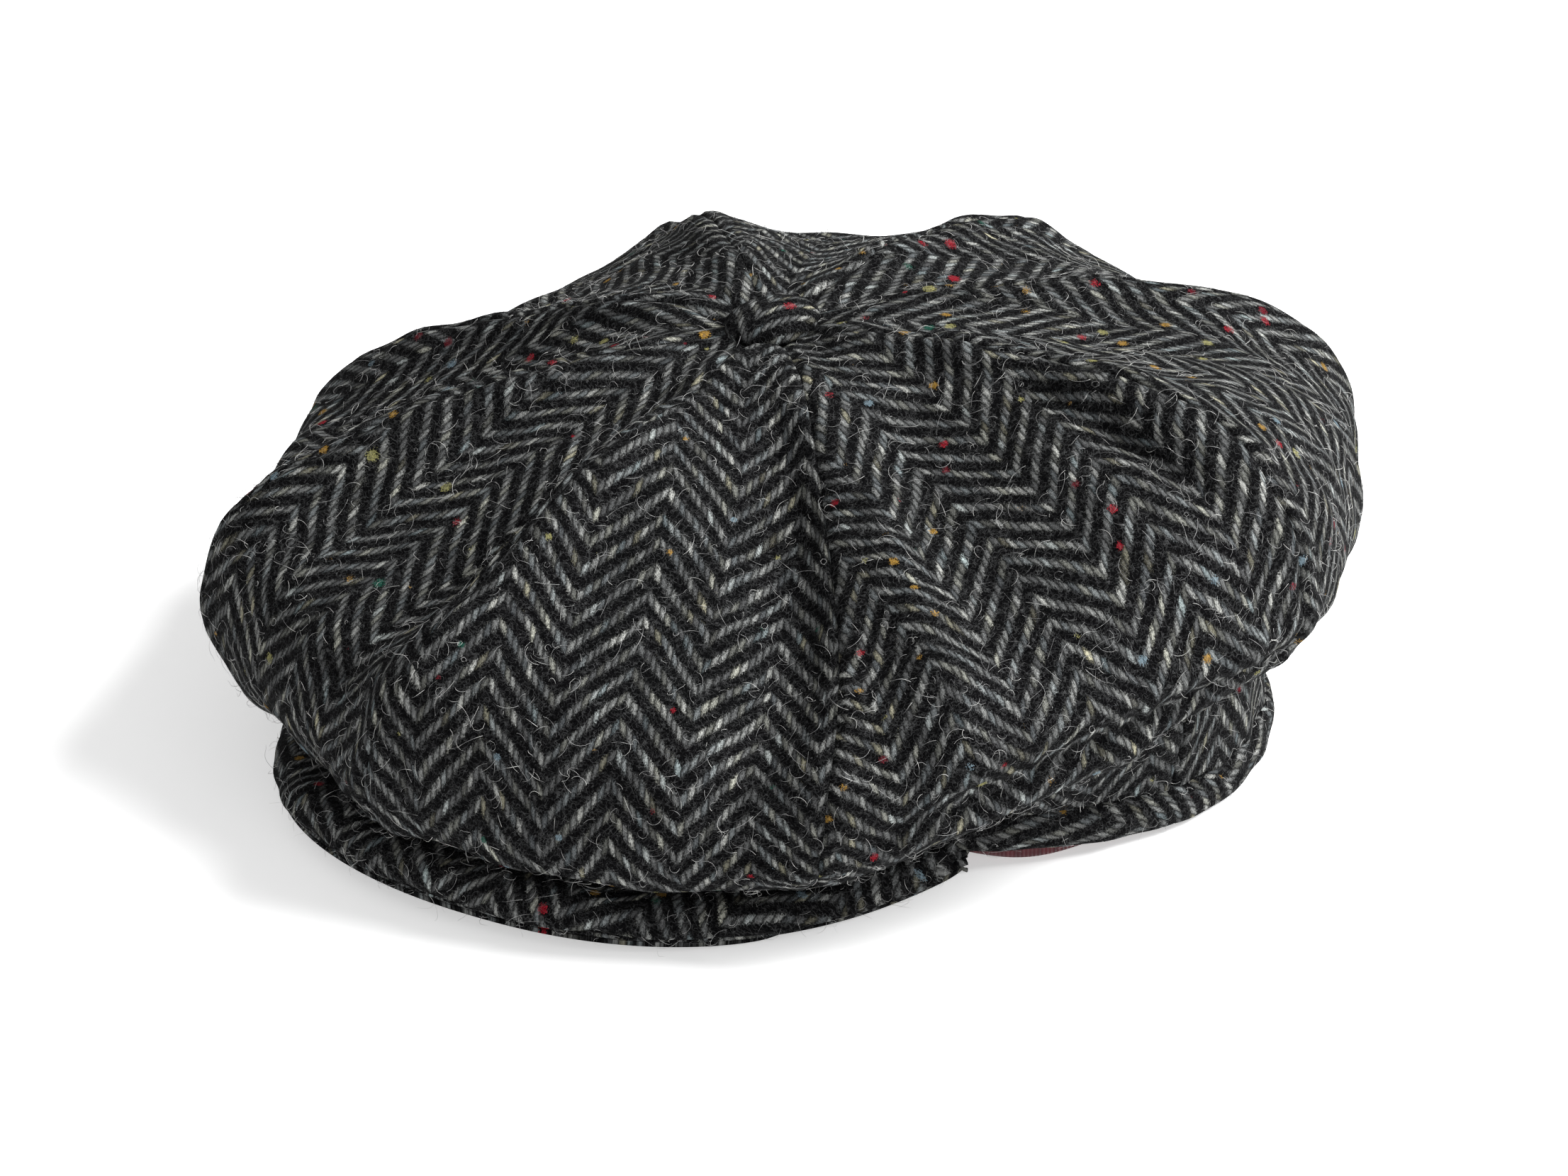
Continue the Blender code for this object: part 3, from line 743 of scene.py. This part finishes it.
    # neps of coloured wool, caught here and there in the yarn
    speck = g.node("ShaderNodeTexVoronoi", Vector=cloth, Scale=FLECK_SCALE)
    speck_draw = g.split(speck.outputs["Color"])
    rough_edge = g.add(g.mul(g.sub(nap, 0.5), 0.30), g.mul(g.sub(streaks, 0.5), 0.20))
    size = g.mul(g.add(FLECK_SIZE, rough_edge), g.add(0.5, speck_draw[2]))
    inside = g.math("LESS_THAN", speck.outputs["Distance"], size)
    chosen = g.math("LESS_THAN", speck_draw[0], FLECK_SHARE)
    fleck = g.ramp(speck_draw[1], FLECKS, "CONSTANT")
    coloured = g.mix(g.mul(g.mul(inside, chosen), 0.85), weave_colour, g.tint(fleck, tone))

    hairy_colour = g.mix(g.mul(curls, HAIR_COVER), coloured, HAIR_COLOUR)
    g.surface(Base_Color=hairy_colour, Roughness=0.95, Specular_IOR_Level=0.03)

    relief = g.mul(cover, g.mul(g.add(0.35, g.mul(rope_round, 0.65)), float_round))
    relief = g.add(relief, g.add(g.mul(g.sub(streaks, 0.5), 0.8), g.mul(curls, 0.35)))
    g.bump(relief, 0.0005, 0.8)
    return g.mat


def satin_material():
    """Fine dark red satin with a faint weft rib."""
    g = Graph("burgundy_satin")
    cloth = weave_coordinates(g)
    across, along, seed = g.split(cloth)
    rib = g.math("SINE", g.mul(across, 2.0 * pi / 0.32))
    slub = g.noise(g.vector(g.mul(across, 0.9), g.mul(along, 0.06), seed), 1.0, 3.0)["Fac"]
    tone = g.ramp(slub, ((0.30, (0.075, 0.006, 0.012)), (0.70, (0.150, 0.014, 0.026))))
    crumple = g.noise(cloth, 0.06, 3.0)["Fac"]
    g.bump(g.add(g.mul(rib, 0.02), crumple), 0.0012, 0.5)
    g.surface(Base_Color=tone, Roughness=g.add(0.34, g.mul(slub, 0.16)), Anisotropic=0.5,
              Sheen_Weight=0.2)
    return g.mat


def ribbon_material():
    """Cotton petersham ribbon: close ribs that run from edge to edge."""
    g = Graph("burgundy_ribbon")
    cloth = weave_coordinates(g)
    across, along, seed = g.split(cloth)
    rib_no = g.math("FLOOR", g.div(along, RIBBON_RIB))
    rib = g.math("SINE", g.mul(along, 2.0 * pi / RIBBON_RIB))
    tone = g.random(g.vector(rib_no, seed, 1.0))["Value"]
    fibre = g.noise(g.vector(g.mul(across, 2.0), g.mul(along, 4.0), seed), 1.0, 3.0)["Fac"]
    shade = g.ramp(g.add(g.mul(tone, 0.4), g.mul(fibre, 0.6)),
                   ((0.20, (0.050, 0.006, 0.010)), (0.80, (0.135, 0.014, 0.022))))
    g.bump(g.add(rib, g.mul(fibre, 0.5)), 0.0002, 0.7)
    g.surface(Base_Color=shade, Roughness=0.72, Sheen_Weight=0.3)
    return g.mat


def plain_material(name, scale, detail, stops, relief=None, **inputs):
    """Material whose colour, and relief if any, follow one noise in object space."""
    g = Graph(name)
    where = g.node("ShaderNodeTexCoord").outputs["Object"]
    grain = g.noise(where, scale, detail)["Fac"]
    g.surface(Base_Color=g.ramp(grain, stops), **inputs)
    if relief:
        g.bump(grain, *relief)
    return g, grain


def steel_material():
    """Tinned steel with fine scratches from the press."""
    g, scratches = plain_material(
        "button_steel", 1500.0, 3.0, ((0.3, (0.55, 0.55, 0.56)), (0.7, 0.68)),
        (0.00005, 0.4), Metallic=1.0)
    g.surface(Roughness=g.add(0.25, g.mul(scratches, 0.3)))
    return g.mat


TWEED = tweed_material()
SATIN = satin_material()
RIBBON = ribbon_material()
THREAD = plain_material(        # twisted black sewing thread
    "button_thread", 2600.0, 2.0, ((0.3, 0.018), (0.7, 0.03)), (0.0001, 0.6),
    Roughness=0.6)[0].mat
BOARD = plain_material(         # pressed fibreboard
    "peak_fibreboard", 900.0, 4.0, ((0.3, (0.36, 0.28, 0.18)), (0.7, (0.52, 0.42, 0.29))),
    (0.0002, 0.6), Roughness=0.85)[0].mat
STEEL = steel_material()
FIBRE = plain_material(         # single wool fibres, mostly pale grey
    "wool_fibre", 400.0, 1.0, ((0.30, 0.08), (0.50, 0.35), (0.70, (0.75, 0.75, 0.72))),
    Roughness=0.6)[0].mat


# ----------------------------------------------------------------------- crown
# folds of the crown as it lies: the (bearing, share) points of each one's line,
# its half width and its height in millimetres
FOLDS = (
    # the crown doubles over above the side of the band
    (((44.0, 0.56), (54.0, 0.52), (65.0, 0.535), (80.0, 0.58), (92.0, 0.6)), 5.0, 3.6),
    (((44.0, 0.625), (56.0, 0.58), (66.0, 0.59), (82.0, 0.64), (94.0, 0.66)), 5.0, -5.0),
    (((40.0, 0.65), (50.0, 0.625), (60.0, 0.64)), 3.0, 2.0),
    # a crease beside the seam over the ear
    (((86.0, 0.23), (84.0, 0.31), (84.0, 0.37), (86.0, 0.43)), 4.0, -5.0),
    (((78.0, 0.25), (77.0, 0.33), (78.0, 0.42)), 5.0, 2.0),
    # the valley and the roll either side of the seam beside the peak's middle
    (((38.0, 0.12), (39.0, 0.23), (39.0, 0.35), (38.5, 0.47), (38.0, 0.59)), 11.0, -7.0),
    (((52.0, 0.12), (53.0, 0.22), (55.0, 0.34), (56.5, 0.45), (57.0, 0.54)), 10.0, 7.0),
    # both sides of the seam towards the wearer's right
    (((350.0, 0.14), (350.0, 0.25), (349.0, 0.4), (348.0, 0.52)), 9.0, -4.0),
    (((3.0, 0.14), (3.0, 0.3), (2.0, 0.48)), 7.0, 3.0),
    (((323.0, 0.18), (324.0, 0.3), (325.0, 0.44)), 10.0, -3.0),
    (((308.0, 0.16), (309.0, 0.3), (310.0, 0.42)), 9.0, 2.0),
    # short puckers down the seam beside the peak's middle
    (((46.0, 0.3), (55.0, 0.27)), 3.5, 1.2),
    (((46.0, 0.36), (56.0, 0.34)), 3.5, -1.4),
    (((46.0, 0.42), (58.0, 0.39)), 4.0, 1.4),
    (((46.0, 0.47), (57.0, 0.45)), 3.5, -1.4),
)
CREASE_STEPS = 24


def fold_heights(grid):
    """How far each point of the crown is raised or sunk by its folds."""
    height = np.zeros(grid.shape[:2])
    for line, width, rise in FOLDS:
        places = smooth_path(line, CREASE_STEPS)[0]
        spine = crown_base(places[:, :1], places[:, 1:])[:, 0]
        gap = np.linalg.norm(grid[:, :, None] - spine[None, None], axis=-1)
        nearest = np.argmin(gap, axis=2)
        taper = np.sin(pi * (nearest + 0.5) / CREASE_STEPS) ** 0.6
        height += rise * taper * np.exp(-((gap.min(axis=2) / width) ** 2))
    return height


def rest_on_peak(grid):
    """Lifts any point that would be inside the peak onto its upper surface."""
    support = peak_top(grid[..., 0], grid[..., 1]) + REST_GAP
    grid[..., 2] = np.maximum(grid[..., 2], support)
    return grid


# outer faces, with their directions, that loose fibres stand out of
SKINS = []


def crown_normals(bearing, shares):
    """Outward directions that neighbouring gores share along their seam."""
    turn = 2.0
    step = 0.004
    around_way = crown_base(bearing + turn, shares) - crown_base(bearing - turn, shares)
    down_way = (crown_base(bearing, np.minimum(shares + step, 1.0))
                - crown_base(bearing, np.maximum(shares - step, 0.0)))
    return unit(np.cross(down_way, around_way))


def make_crown():
    """Eight gores with raised seams and the folds of the cap as it lies."""
    for k in range(PANELS):
        u = np.linspace(0.0, 1.0, CROWN_ACROSS + 1)
        v = np.linspace(0.0, 1.0, CROWN_ALONG + 1)
        bearing = np.repeat(((k + u) * PANEL_STEP)[:, None], len(v), axis=1)
        # just inside the seams, so that each edge takes its own panel's sag
        bearing[0] += 1e-6
        bearing[-1] -= 1e-6
        shares = np.repeat(v[None], len(u), axis=0)
        grid = crown_base(bearing, shares)
        normal = crown_normals(bearing, shares)
        grid = grid + normal * fold_heights(grid)[..., None]
        grid = grid + normal * (CROWN_RIPPLE * waves(grid, 5, 46.0, 13.0))[..., None]
        grid = rest_on_peak(grid)
        flat = flatten(grid)
        from_first = arc_lengths(grid, 0)
        from_seam = np.minimum(from_first, from_first[-1] - from_first)
        allowance = SEAM_RISE * (1.0 - smooth_step(from_seam / SEAM_ALLOWANCE - 1.0))
        groove = -GROOVE_DEPTH * np.exp(-((from_seam / GROOVE_WIDTH) ** 2))
        grid = grid + normal * (allowance + groove)[..., None]
        sew(f"crown_gore_{k + 1}", grid, -normal, CLOTH, TWEED,
            weave_of(turned_flat(flat, WEAVE_TURN[k]), 10 * (k + 1)), flat,
            f"crown_panel_{k + 1}")
        SKINS.append((grid, normal))


# ---------------------------------------------------------------------- lining
def make_lining():
    """Four gores of satin that hang slack inside the crown."""
    step = 360.0 / LINING_GORES
    for k in range(LINING_GORES):
        u = np.linspace(0.0, 1.0, 61)
        v = np.linspace(*LINING_SHARES, 70)
        column = k * step + LINING_TRIM + (step - 2.0 * LINING_TRIM) * u
        bearing = np.repeat(column[:, None], len(v), axis=1)
        shares = np.repeat(v[None], len(u), axis=0)
        normal = crown_normals(bearing, shares)
        grid = crown_base(bearing, shares)
        inset = LINING_INSET + np.maximum(-fold_heights(grid), 0.0)
        grid = grid - normal * inset[..., None]
        top = band_lift(bearing[:, 0]) + SWEATBAND_RECESS + SWEATBAND_HEIGHT + GAP
        end = band_point(bearing[:, 0], BAND_THICKNESS + GAP, top)
        share = np.linspace(0.0, 1.0, 25)[1:, None, None]
        hem = grid[:, -1] + (end - grid[:, -1]) * share
        hem[..., 2] -= LINING_SAG * np.sin(pi * share[..., 0])
        grid = np.concatenate([grid, hem.transpose(1, 0, 2)], axis=1)
        inside = -grid_normals(grid)
        ramp = smooth_step(np.linspace(0.0, 5.0, grid.shape[1]))[None]
        slack = LINING_SLACK * ramp * ramp[:, ::-1]
        folds = 1.0 + waves(grid * (1.0, 1.0, 0.5), 11 + k, 60.0, 14.0)
        grid = grid + inside * (slack * np.maximum(folds, 0.0))[..., None]
        flat = flatten(grid)
        sew(f"lining_satin_{k + 1}", grid, inside, LINING_THICKNESS, SATIN, weave_of(flat, k),
            flat, f"lining_gore_{k + 1}")


# ------------------------------------------------------------------ head bands
def ring_strip(path):
    """Grid of a strip that runs once round the head from seam to seam at the back.

    path holds (inset, height) points, the same or one row for each station.
    """
    end = 180.0 - STRIP_END_GAP
    bearing = np.linspace(-end, end, BAND_STATIONS + 1)
    path = np.broadcast_to(path, (len(bearing),) + path.shape[-2:])
    column = bearing[:, None] + 0.0 * path[..., 0]
    return band_point(column, path[..., 0], band_lift(column) + path[..., 1])


def strip_flat(grid):
    """Flat pattern of a strip: its length runs round the head."""
    length = arc_lengths(grid, 0).mean(axis=1)
    width = arc_lengths(grid, 1).mean(axis=0)
    return np.stack(np.broadcast_arrays(width[None], length[:, None]), axis=-1)


def make_band():
    """Doubled strip of tweed with a soft fold at its lower edge."""
    grid = ring_strip(smooth_path(BAND_SECTION, 48)[0])
    normal = grid_normals(grid)
    grid = grid + normal * (BAND_RIPPLE * waves(grid, 21, 30.0, 9.0))[..., None]
    grid[..., 2] = np.maximum(grid[..., 2], BAND_LEAST_Z)
    flat = strip_flat(grid)
    sew("band_tweed", grid, -normal, BAND_PLY, TWEED,
        weave_of(turned_flat(flat, BAND_WEAVE_TURN), BAND_SEED), flat,
        "outer_band")
    SKINS.append((grid[:, :BAND_OUTSIDE], normal[:, :BAND_OUTSIDE]))


def make_sweatband():
    """Ribbed ribbon inside the band, sewn on along its lower edge."""
    bearing = np.linspace(-180.0, 180.0, BAND_STATIONS + 1)
    droop = SWEATBAND_DROOP * np.exp(-(((bearing - DROOP_BEARING) / DROOP_SPAN) ** 2))
    share = np.linspace(0.0, 1.0, 40)
    inner = BAND_THICKNESS + GAP + SWEATBAND_THICKNESS + SWEATBAND_SLACK
    height = (SWEATBAND_RECESS + SWEATBAND_HEIGHT * share[None]
              - droop[:, None] * (1.0 - share[None]) ** 2)
    inset = inner + SWEATBAND_BOW * np.sin(pi * share)[None] + 0.0 * height
    grid = ring_strip(np.stack([inset, height], axis=-1))
    grid[..., 2] = np.maximum(grid[..., 2], LEAST_Z)
    normal = grid_normals(grid)
    flat = strip_flat(grid)
    sew("sweatband_ribbon", grid, -normal, SWEATBAND_THICKNESS, RIBBON,
        weave_of(flat, SWEATBAND_SEED), flat, "sweatband")
    return grid, normal


def capsule_faces(rings, sides, first):
    """Faces of one closed tube, made of rings of vertices from index first on."""
    faces = []
    for r in range(rings - 1):
        for s in range(sides):
            a = first + r * sides + s
            b = first + r * sides + (s + 1) % sides
            faces.append((a, b, b + sides, a + sides))
    faces.append(tuple(first + s for s in reversed(range(sides))))
    faces.append(tuple(first + (rings - 1) * sides + s for s in range(sides)))
    return faces


def make_tubes(name, paths, radii, sides, mat):
    """One object of many closed tubes: paths (n, rings, 3), radii (n, rings)."""
    count, rings = paths.shape[:2]
    tangent = unit(np.gradient(paths, axis=1))
    helper = np.where(np.abs(tangent[:, :1, 2:]) < 0.8, (0.0, 0.0, 1.0), (1.0, 0.0, 0.0))
    side = unit(np.cross(tangent, np.broadcast_to(helper, tangent.shape)))
    other = np.cross(tangent, side)
    angle = 2.0 * pi * np.arange(sides) / sides
    ring = (side[:, :, None] * np.cos(angle)[:, None]
            + other[:, :, None] * np.sin(angle)[:, None])
    verts = paths[:, :, None] + ring * radii[:, :, None, None]
    faces = []
    for n in range(count):
        faces += capsule_faces(rings, sides, n * rings * sides)
    return mesh_object(name, verts.reshape(-1, 3), faces, mat)


def make_sweatband_stitches(grid, normal):
    """Row of stitches that holds the sweatband's lower edge to the band."""
    length = arc_lengths(grid, 0)[:, 0]
    starts = np.arange(2.0, length[-1] - 4.0, STITCH_PITCH)
    shares = np.linspace(0.0, 1.0, 6)
    place = starts[:, None] + STITCH_LENGTH * shares[None]
    rise = 0.30 * np.sin(pi * shares) ** 0.7 - 0.12
    row, row_normal = grid[:, STITCH_ROW], normal[:, STITCH_ROW]
    paths = np.stack([np.interp(place, length, row[:, c])
                      + np.interp(place, length, row_normal[:, c]) * rise
                      for c in range(3)], axis=-1)
    radii = np.full(paths.shape[:2], STITCH_RADIUS)
    obj = make_tubes("sweatband_stitches", paths, radii, 6, THREAD)
    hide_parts("sweatband")


# ------------------------------------------------------------------------ peak
def peak_grid(path, seam_z):
    """Grid of a peak cover; path gives (distance in from the rim, height) rows.

    Also returns its flat pattern: every section rolled out from the root.
    """
    turn = np.linspace(0.0, 0.5 * pi, PEAK_END_STATIONS)[:-1]
    ease = 1.0 - np.cos(turn)

    def between(ends, tips):
        """Even stations along the board, then closer ones out to each tip."""
        near = tips[0] + (ends[0] - tips[0]) * ease
        far = tips[1] + (ends[1] - tips[1]) * ease
        return np.concatenate([near, np.linspace(*ends, PEAK_STATIONS), far[::-1]])

    tau = np.radians(between(PEAK_SPAN, PEAK_TIPS))
    power = 2.0 / PEAK_SQUARENESS
    half_width = np.where(tau < 0.0, *PEAK_HALF_WIDTHS)
    across = half_width * np.sign(tau) * np.abs(np.sin(tau)) ** power
    ahead = PEAK_REACH * np.sign(np.cos(tau)) * np.abs(np.cos(tau)) ** power
    rim = PEAK_CENTRE + np.stack([across * cos(PEAK_YAW) + ahead * sin(PEAK_YAW),
                                  across * sin(PEAK_YAW) - ahead * cos(PEAK_YAW)], axis=-1)
    root_bearing = between(PEAK_ROOT_BEARINGS, PEAK_TIP_BEARINGS)
    root = band_point(root_bearing, -PEAK_ROOT_GAP, 0.0)[:, :2]
    span = np.linalg.norm(rim - root, axis=-1)
    lift = peak_lift(np.sin(tau))
    rows = path(span)
    share = rows[..., 0] / span[:, None]
    closing = np.concatenate([np.sin(turn), np.ones(PEAK_STATIONS), np.sin(turn)[::-1]])
    rows[..., 1] = seam_z + (rows[..., 1] - seam_z) * closing[:, None]
    plan = rim[:, None] + (root - rim)[:, None] * share[..., None]
    grid = np.concatenate([plan, (lift[:, None] + rows[..., 1])[..., None]], axis=-1)
    run = arc_lengths(rows, 1)
    if rows[0, 0, 0] < rows[0, -1, 0]:
        run = run[:, -1:] - run
    out = (rim - root) / span[:, None]
    flat = root[:, None] + out[:, None] * run[..., None]
    return grid, flat - PEAK_CENTRE


def edge_rows(points, span):
    """The edge's part of a section at each station, narrower near the tips."""
    rows = np.repeat(np.array(points)[None], len(span), axis=0)
    rows[..., 0] *= np.minimum(1.0, span / PEAK_NARROW_SPAN)[:, None]
    return rows


def upper_path(span):
    """From the root over the top, round the soft edge and down to its lip."""
    far = np.stack([span, 0.0 * span + PEAK_TOP - 1.5], axis=-1)
    middle = np.stack([0.6 * span + 3.0, 0.0 * span + PEAK_TOP + 0.2], axis=-1)
    near = edge_rows(((9.0, PEAK_TOP), (5.0, PEAK_TOP - 0.1), (2.6, PEAK_TOP - 0.9),
                      (0.9, PEAK_TOP - 2.3), (0.0, PEAK_TOP - 4.0), (-0.2, 2.4),
                      (0.2, 1.2), (0.8, 0.9)), span)
    return smooth_path(np.concatenate([far[:, None], middle[:, None], near], axis=1), 64)


def lower_path(span):
    """From inside the edge seam down and back along the underside to the root."""
    near = edge_rows(((1.5, 1.3), (0.7, 1.0), (0.5, 0.5), (1.1, 0.1), (3.0, 0.0)), span)
    far = np.stack([span, 0.0 * span], axis=-1)[:, None]
    halfway = 0.5 * (near[:, -1:] + far)
    return smooth_path(np.concatenate([near, halfway, far], axis=1), 40)


def make_peak():
    """Soft upper cover rolled over the stiff board, and a flat under cover."""
    covers = (("upper", upper_path, UPPER_SEAM_Z, PEAK_RIPPLE, PEAK_SEEDS[0]),
              ("under", lower_path, UNDER_SEAM_Z, 0.0, PEAK_SEEDS[1]))
    for side, path, seam_z, ripple, seed in covers:
        grid, flat = peak_grid(path, seam_z)
        normal = grid_normals(grid)
        grid = grid + normal * (ripple * waves(grid, 31, 34.0, 9.0))[..., None]
        sew(f"peak_{side}_tweed", grid, -normal, PEAK_PLY, TWEED, weave_of(flat, seed), flat,
            f"peak_{side}_cover")
        SKINS.append((grid, normal))


# ---------------------------------------------------------------------- button
def make_button():
    """Cloth drawn over the button's shell, with small gathers round its rim."""
    segments, steps = 96, 18
    quarter = [0.5 * pi * i / steps for i in range(steps + 1)]
    outer = [(BUTTON_RADIUS * cos(a), 1.0 + BUTTON_RISE * sin(a)) for a in quarter][::-1]
    lip = [(BUTTON_RADIUS - 0.1, 0.5), (BUTTON_RADIUS - 0.5, 0.3),
           (BUTTON_RADIUS - 0.9, 0.5)]
    inner = [((BUTTON_RADIUS - 1.0) * cos(a), 1.0 + (BUTTON_RISE - 1.2) * sin(a))
             for a in quarter]
    outline = np.array(outer[1:] + lip + inner[:-1])
    angle = 2.0 * pi * np.arange(segments) / segments
    reach = outline[:, 0][:, None] + 0.0 * angle[None]
    height = outline[:, 1][:, None] + 0.0 * angle[None]
    outside = (np.arange(len(outline)) < len(outer) + 1)[:, None]
    rimward = smooth_step((reach / BUTTON_RADIUS - 0.7) / 0.3) * outside
    gathers = 0.22 * np.sin(17.0 * angle) + 0.16 * np.sin(26.0 * angle + 1.0)
    reach = reach + rimward * gathers[None]
    dent = 0.25 * np.sin(2.0 * angle + 0.6)[None]
    height = height + outside * dent * (reach / BUTTON_RADIUS)
    ring = np.stack([reach * np.cos(angle), reach * np.sin(angle), height], axis=-1)
    apexes = np.array([(0.0, 0.0, 1.0 + BUTTON_RISE), (0.0, 0.0, BUTTON_RISE - 0.2)])
    verts = np.concatenate([ring.reshape(-1, 3), apexes])
    rows = len(outline)
    faces = []
    for i in range(rows - 1):
        for j in range(segments):
            a, b = i * segments + j, i * segments + (j + 1) % segments
            faces.append((a, a + segments, b + segments, b))
    top, low = rows * segments, rows * segments + 1
    for j in range(segments):
        n = (j + 1) % segments
        faces.append((top, j, n))
        faces.append((low, (rows - 1) * segments + n, (rows - 1) * segments + j))
    run = np.concatenate([[0.0], np.cumsum(np.linalg.norm(np.diff(outline, axis=0), axis=-1))])
    run = run + np.hypot(*(outline[0] - (0.0, 1.0 + BUTTON_RISE)))
    run[len(outer) + 2:] = outline[len(outer) + 2:, 0]
    cloth = np.stack([run[:, None] * np.cos(angle), run[:, None] * np.sin(angle)], axis=-1)
    weave = weave_of(cloth, BUTTON_SEED).reshape(-1, 3)
    weave = np.concatenate([weave, np.array([(0.0, 0.0, float(BUTTON_SEED))] * 2)])
    tilt = (Matrix.Rotation(BUTTON_TILT[1], 3, "Y")
            @ Matrix.Rotation(BUTTON_TILT[0], 3, "X"))
    verts = verts @ np.array(tilt).T + (*BUTTON_CENTRE, BUTTON_BASE_Z)
    obj = mesh_object("button_tweed", verts, faces, TWEED, weave)
    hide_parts("button_cover")


# ------------------------------------------------------------------ wool fibres
def make_fibres():
    """Loose curled fibres that stand out of the napped tweed."""
    count, rings = FIBRE_COUNT, FIBRE_RINGS
    rng = np.random.default_rng(FIBRE_SEED)
    points, normals, weights = [], [], []
    for grid, normal in SKINS:
        one = grid[1:, 1:] - grid[:-1, :-1]
        two = grid[:-1, 1:] - grid[1:, :-1]
        weights.append(0.5 * np.linalg.norm(np.cross(one, two), axis=-1).ravel())
        points.append(grid[:-1, :-1].reshape(-1, 3))
        normals.append(normal[:-1, :-1].reshape(-1, 3))
    points, normals, weights = (np.concatenate(part) for part in (points, normals, weights))
    pick = rng.choice(len(points), size=count, p=weights / weights.sum())
    normal = normals[pick]
    start = points[pick] + rng.normal(scale=0.3, size=(count, 3))
    way = unit(np.cross(normal, rng.normal(size=(count, 3))))
    sideways = np.cross(normal, way)
    length = rng.uniform(2.0, 7.0, count)
    curl = rng.normal(scale=2.6, size=count)
    rise = rng.uniform(0.15, 1.0, count) ** 2 * 1.8
    t = np.linspace(0.0, 1.0, rings)
    bend = curl[:, None] * t
    step = (length / (rings - 1))[:, None]

    def run(steps):
        """Distance covered before each point of every fibre."""
        return np.pad(np.cumsum(steps, axis=1)[:, :-1], ((0, 0), (1, 0)))

    forward = run(step * np.cos(bend))
    aside = run(step * np.sin(bend))
    lifted = rise[:, None] * np.sin(pi * np.minimum(t, 0.8) / 1.1) - 0.15
    paths = (start[:, None] + way[:, None] * forward[..., None]
             + sideways[:, None] * aside[..., None] + normal[:, None] * lifted[..., None])
    paths[..., 2] = np.maximum(paths[..., 2], LEAST_Z)
    radii = rng.uniform(0.7, 1.3, count)[:, None] * FIBRE_RADIUS * (1.0 - 0.6 * t)[None]
    obj = make_tubes("wool_fibres", paths, radii, 3, FIBRE)
    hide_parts(*[f"crown_panel_{k + 1}" for k in range(PANELS)])


def finish_hard_parts():
    """Gives the peak's board, the button's shell and its thread their materials."""
    for name, mat in (("peak_board", BOARD), ("button_shell", STEEL), ("button_thread", THREAD)):
        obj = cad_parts[name]
        obj.data.materials.clear()
        obj.data.materials.append(mat)


make_crown()
make_lining()
make_band()
sweat_grid, sweat_normal = make_sweatband()
make_sweatband_stitches(sweat_grid, sweat_normal)
make_peak()
make_button()
make_fibres()
finish_hard_parts()


# ------------------------------------------------------------- camera and light
def make_floor():
    """White table that the cap lies on."""
    size = FLOOR_HALF_WIDTH
    mesh = bpy.data.meshes.new("floor")
    corners = [(-size, -size, 0), (size, -size, 0), (size, size, 0), (-size, size, 0)]
    mesh.from_pydata(corners, [], [(0, 1, 2, 3)])
    # pale paper, with an emission that is painted light: it pales the floor's shadows and lights
    # the cap from below
    g = plain_material("floor_paper_painted_glow", 300.0, 2.0,
                       ((0.3, 0.86), (0.7, 0.88)), Roughness=0.9,
                       Emission_Color=(1.0, 1.0, 1.0, 1.0), Emission_Strength=FLOOR_GLOW)[0]
    mesh.materials.append(g.mat)
    floor = bpy.data.objects.new("floor", mesh)
    bpy.context.scene.collection.objects.link(floor)


def aim(obj, bearing, elevation, distance):
    """Places a camera or light round the cap and turns it to face it."""
    a, e = radians(bearing), radians(elevation)
    back = Vector((sin(a) * cos(e), -cos(a) * cos(e), sin(e)))
    target = Vector([m * MM for m in (BAND_CENTRE[0] + AIM[0], BAND_CENTRE[1] + AIM[1], AIM[2])])
    obj.location = target + back * distance
    obj.rotation_euler = back.to_track_quat("Z", "Y").to_euler()
    bpy.context.scene.collection.objects.link(obj)


def make_camera_and_lights():
    """Camera in front and to the wearer's left, with square softboxes about the cap."""
    scene = bpy.context.scene
    data = bpy.data.cameras.new("camera")
    data.sensor_width = 36.0
    data.lens = data.sensor_width * CAMERA[2] / VIEW_WIDTH
    scene.camera = bpy.data.objects.new("camera", data)
    aim(scene.camera, *CAMERA)

    for name, bearing, elevation, distance, size, watts in LIGHTS:
        data = bpy.data.lights.new(name, "AREA")
        data.shape = "SQUARE"
        data.size = size
        data.energy = watts
        aim(bpy.data.objects.new(name, data), bearing, elevation, distance)

    world = bpy.data.worlds.new("studio")
    world.use_nodes = True
    background = world.node_tree.nodes["Background"]
    background.inputs["Color"].default_value = (1.0, 1.0, 1.0, 1.0)
    background.inputs["Strength"].default_value = WORLD_STRENGTH
    scene.world = world
    scene.view_settings.view_transform = "Standard"


make_floor()
make_camera_and_lights()
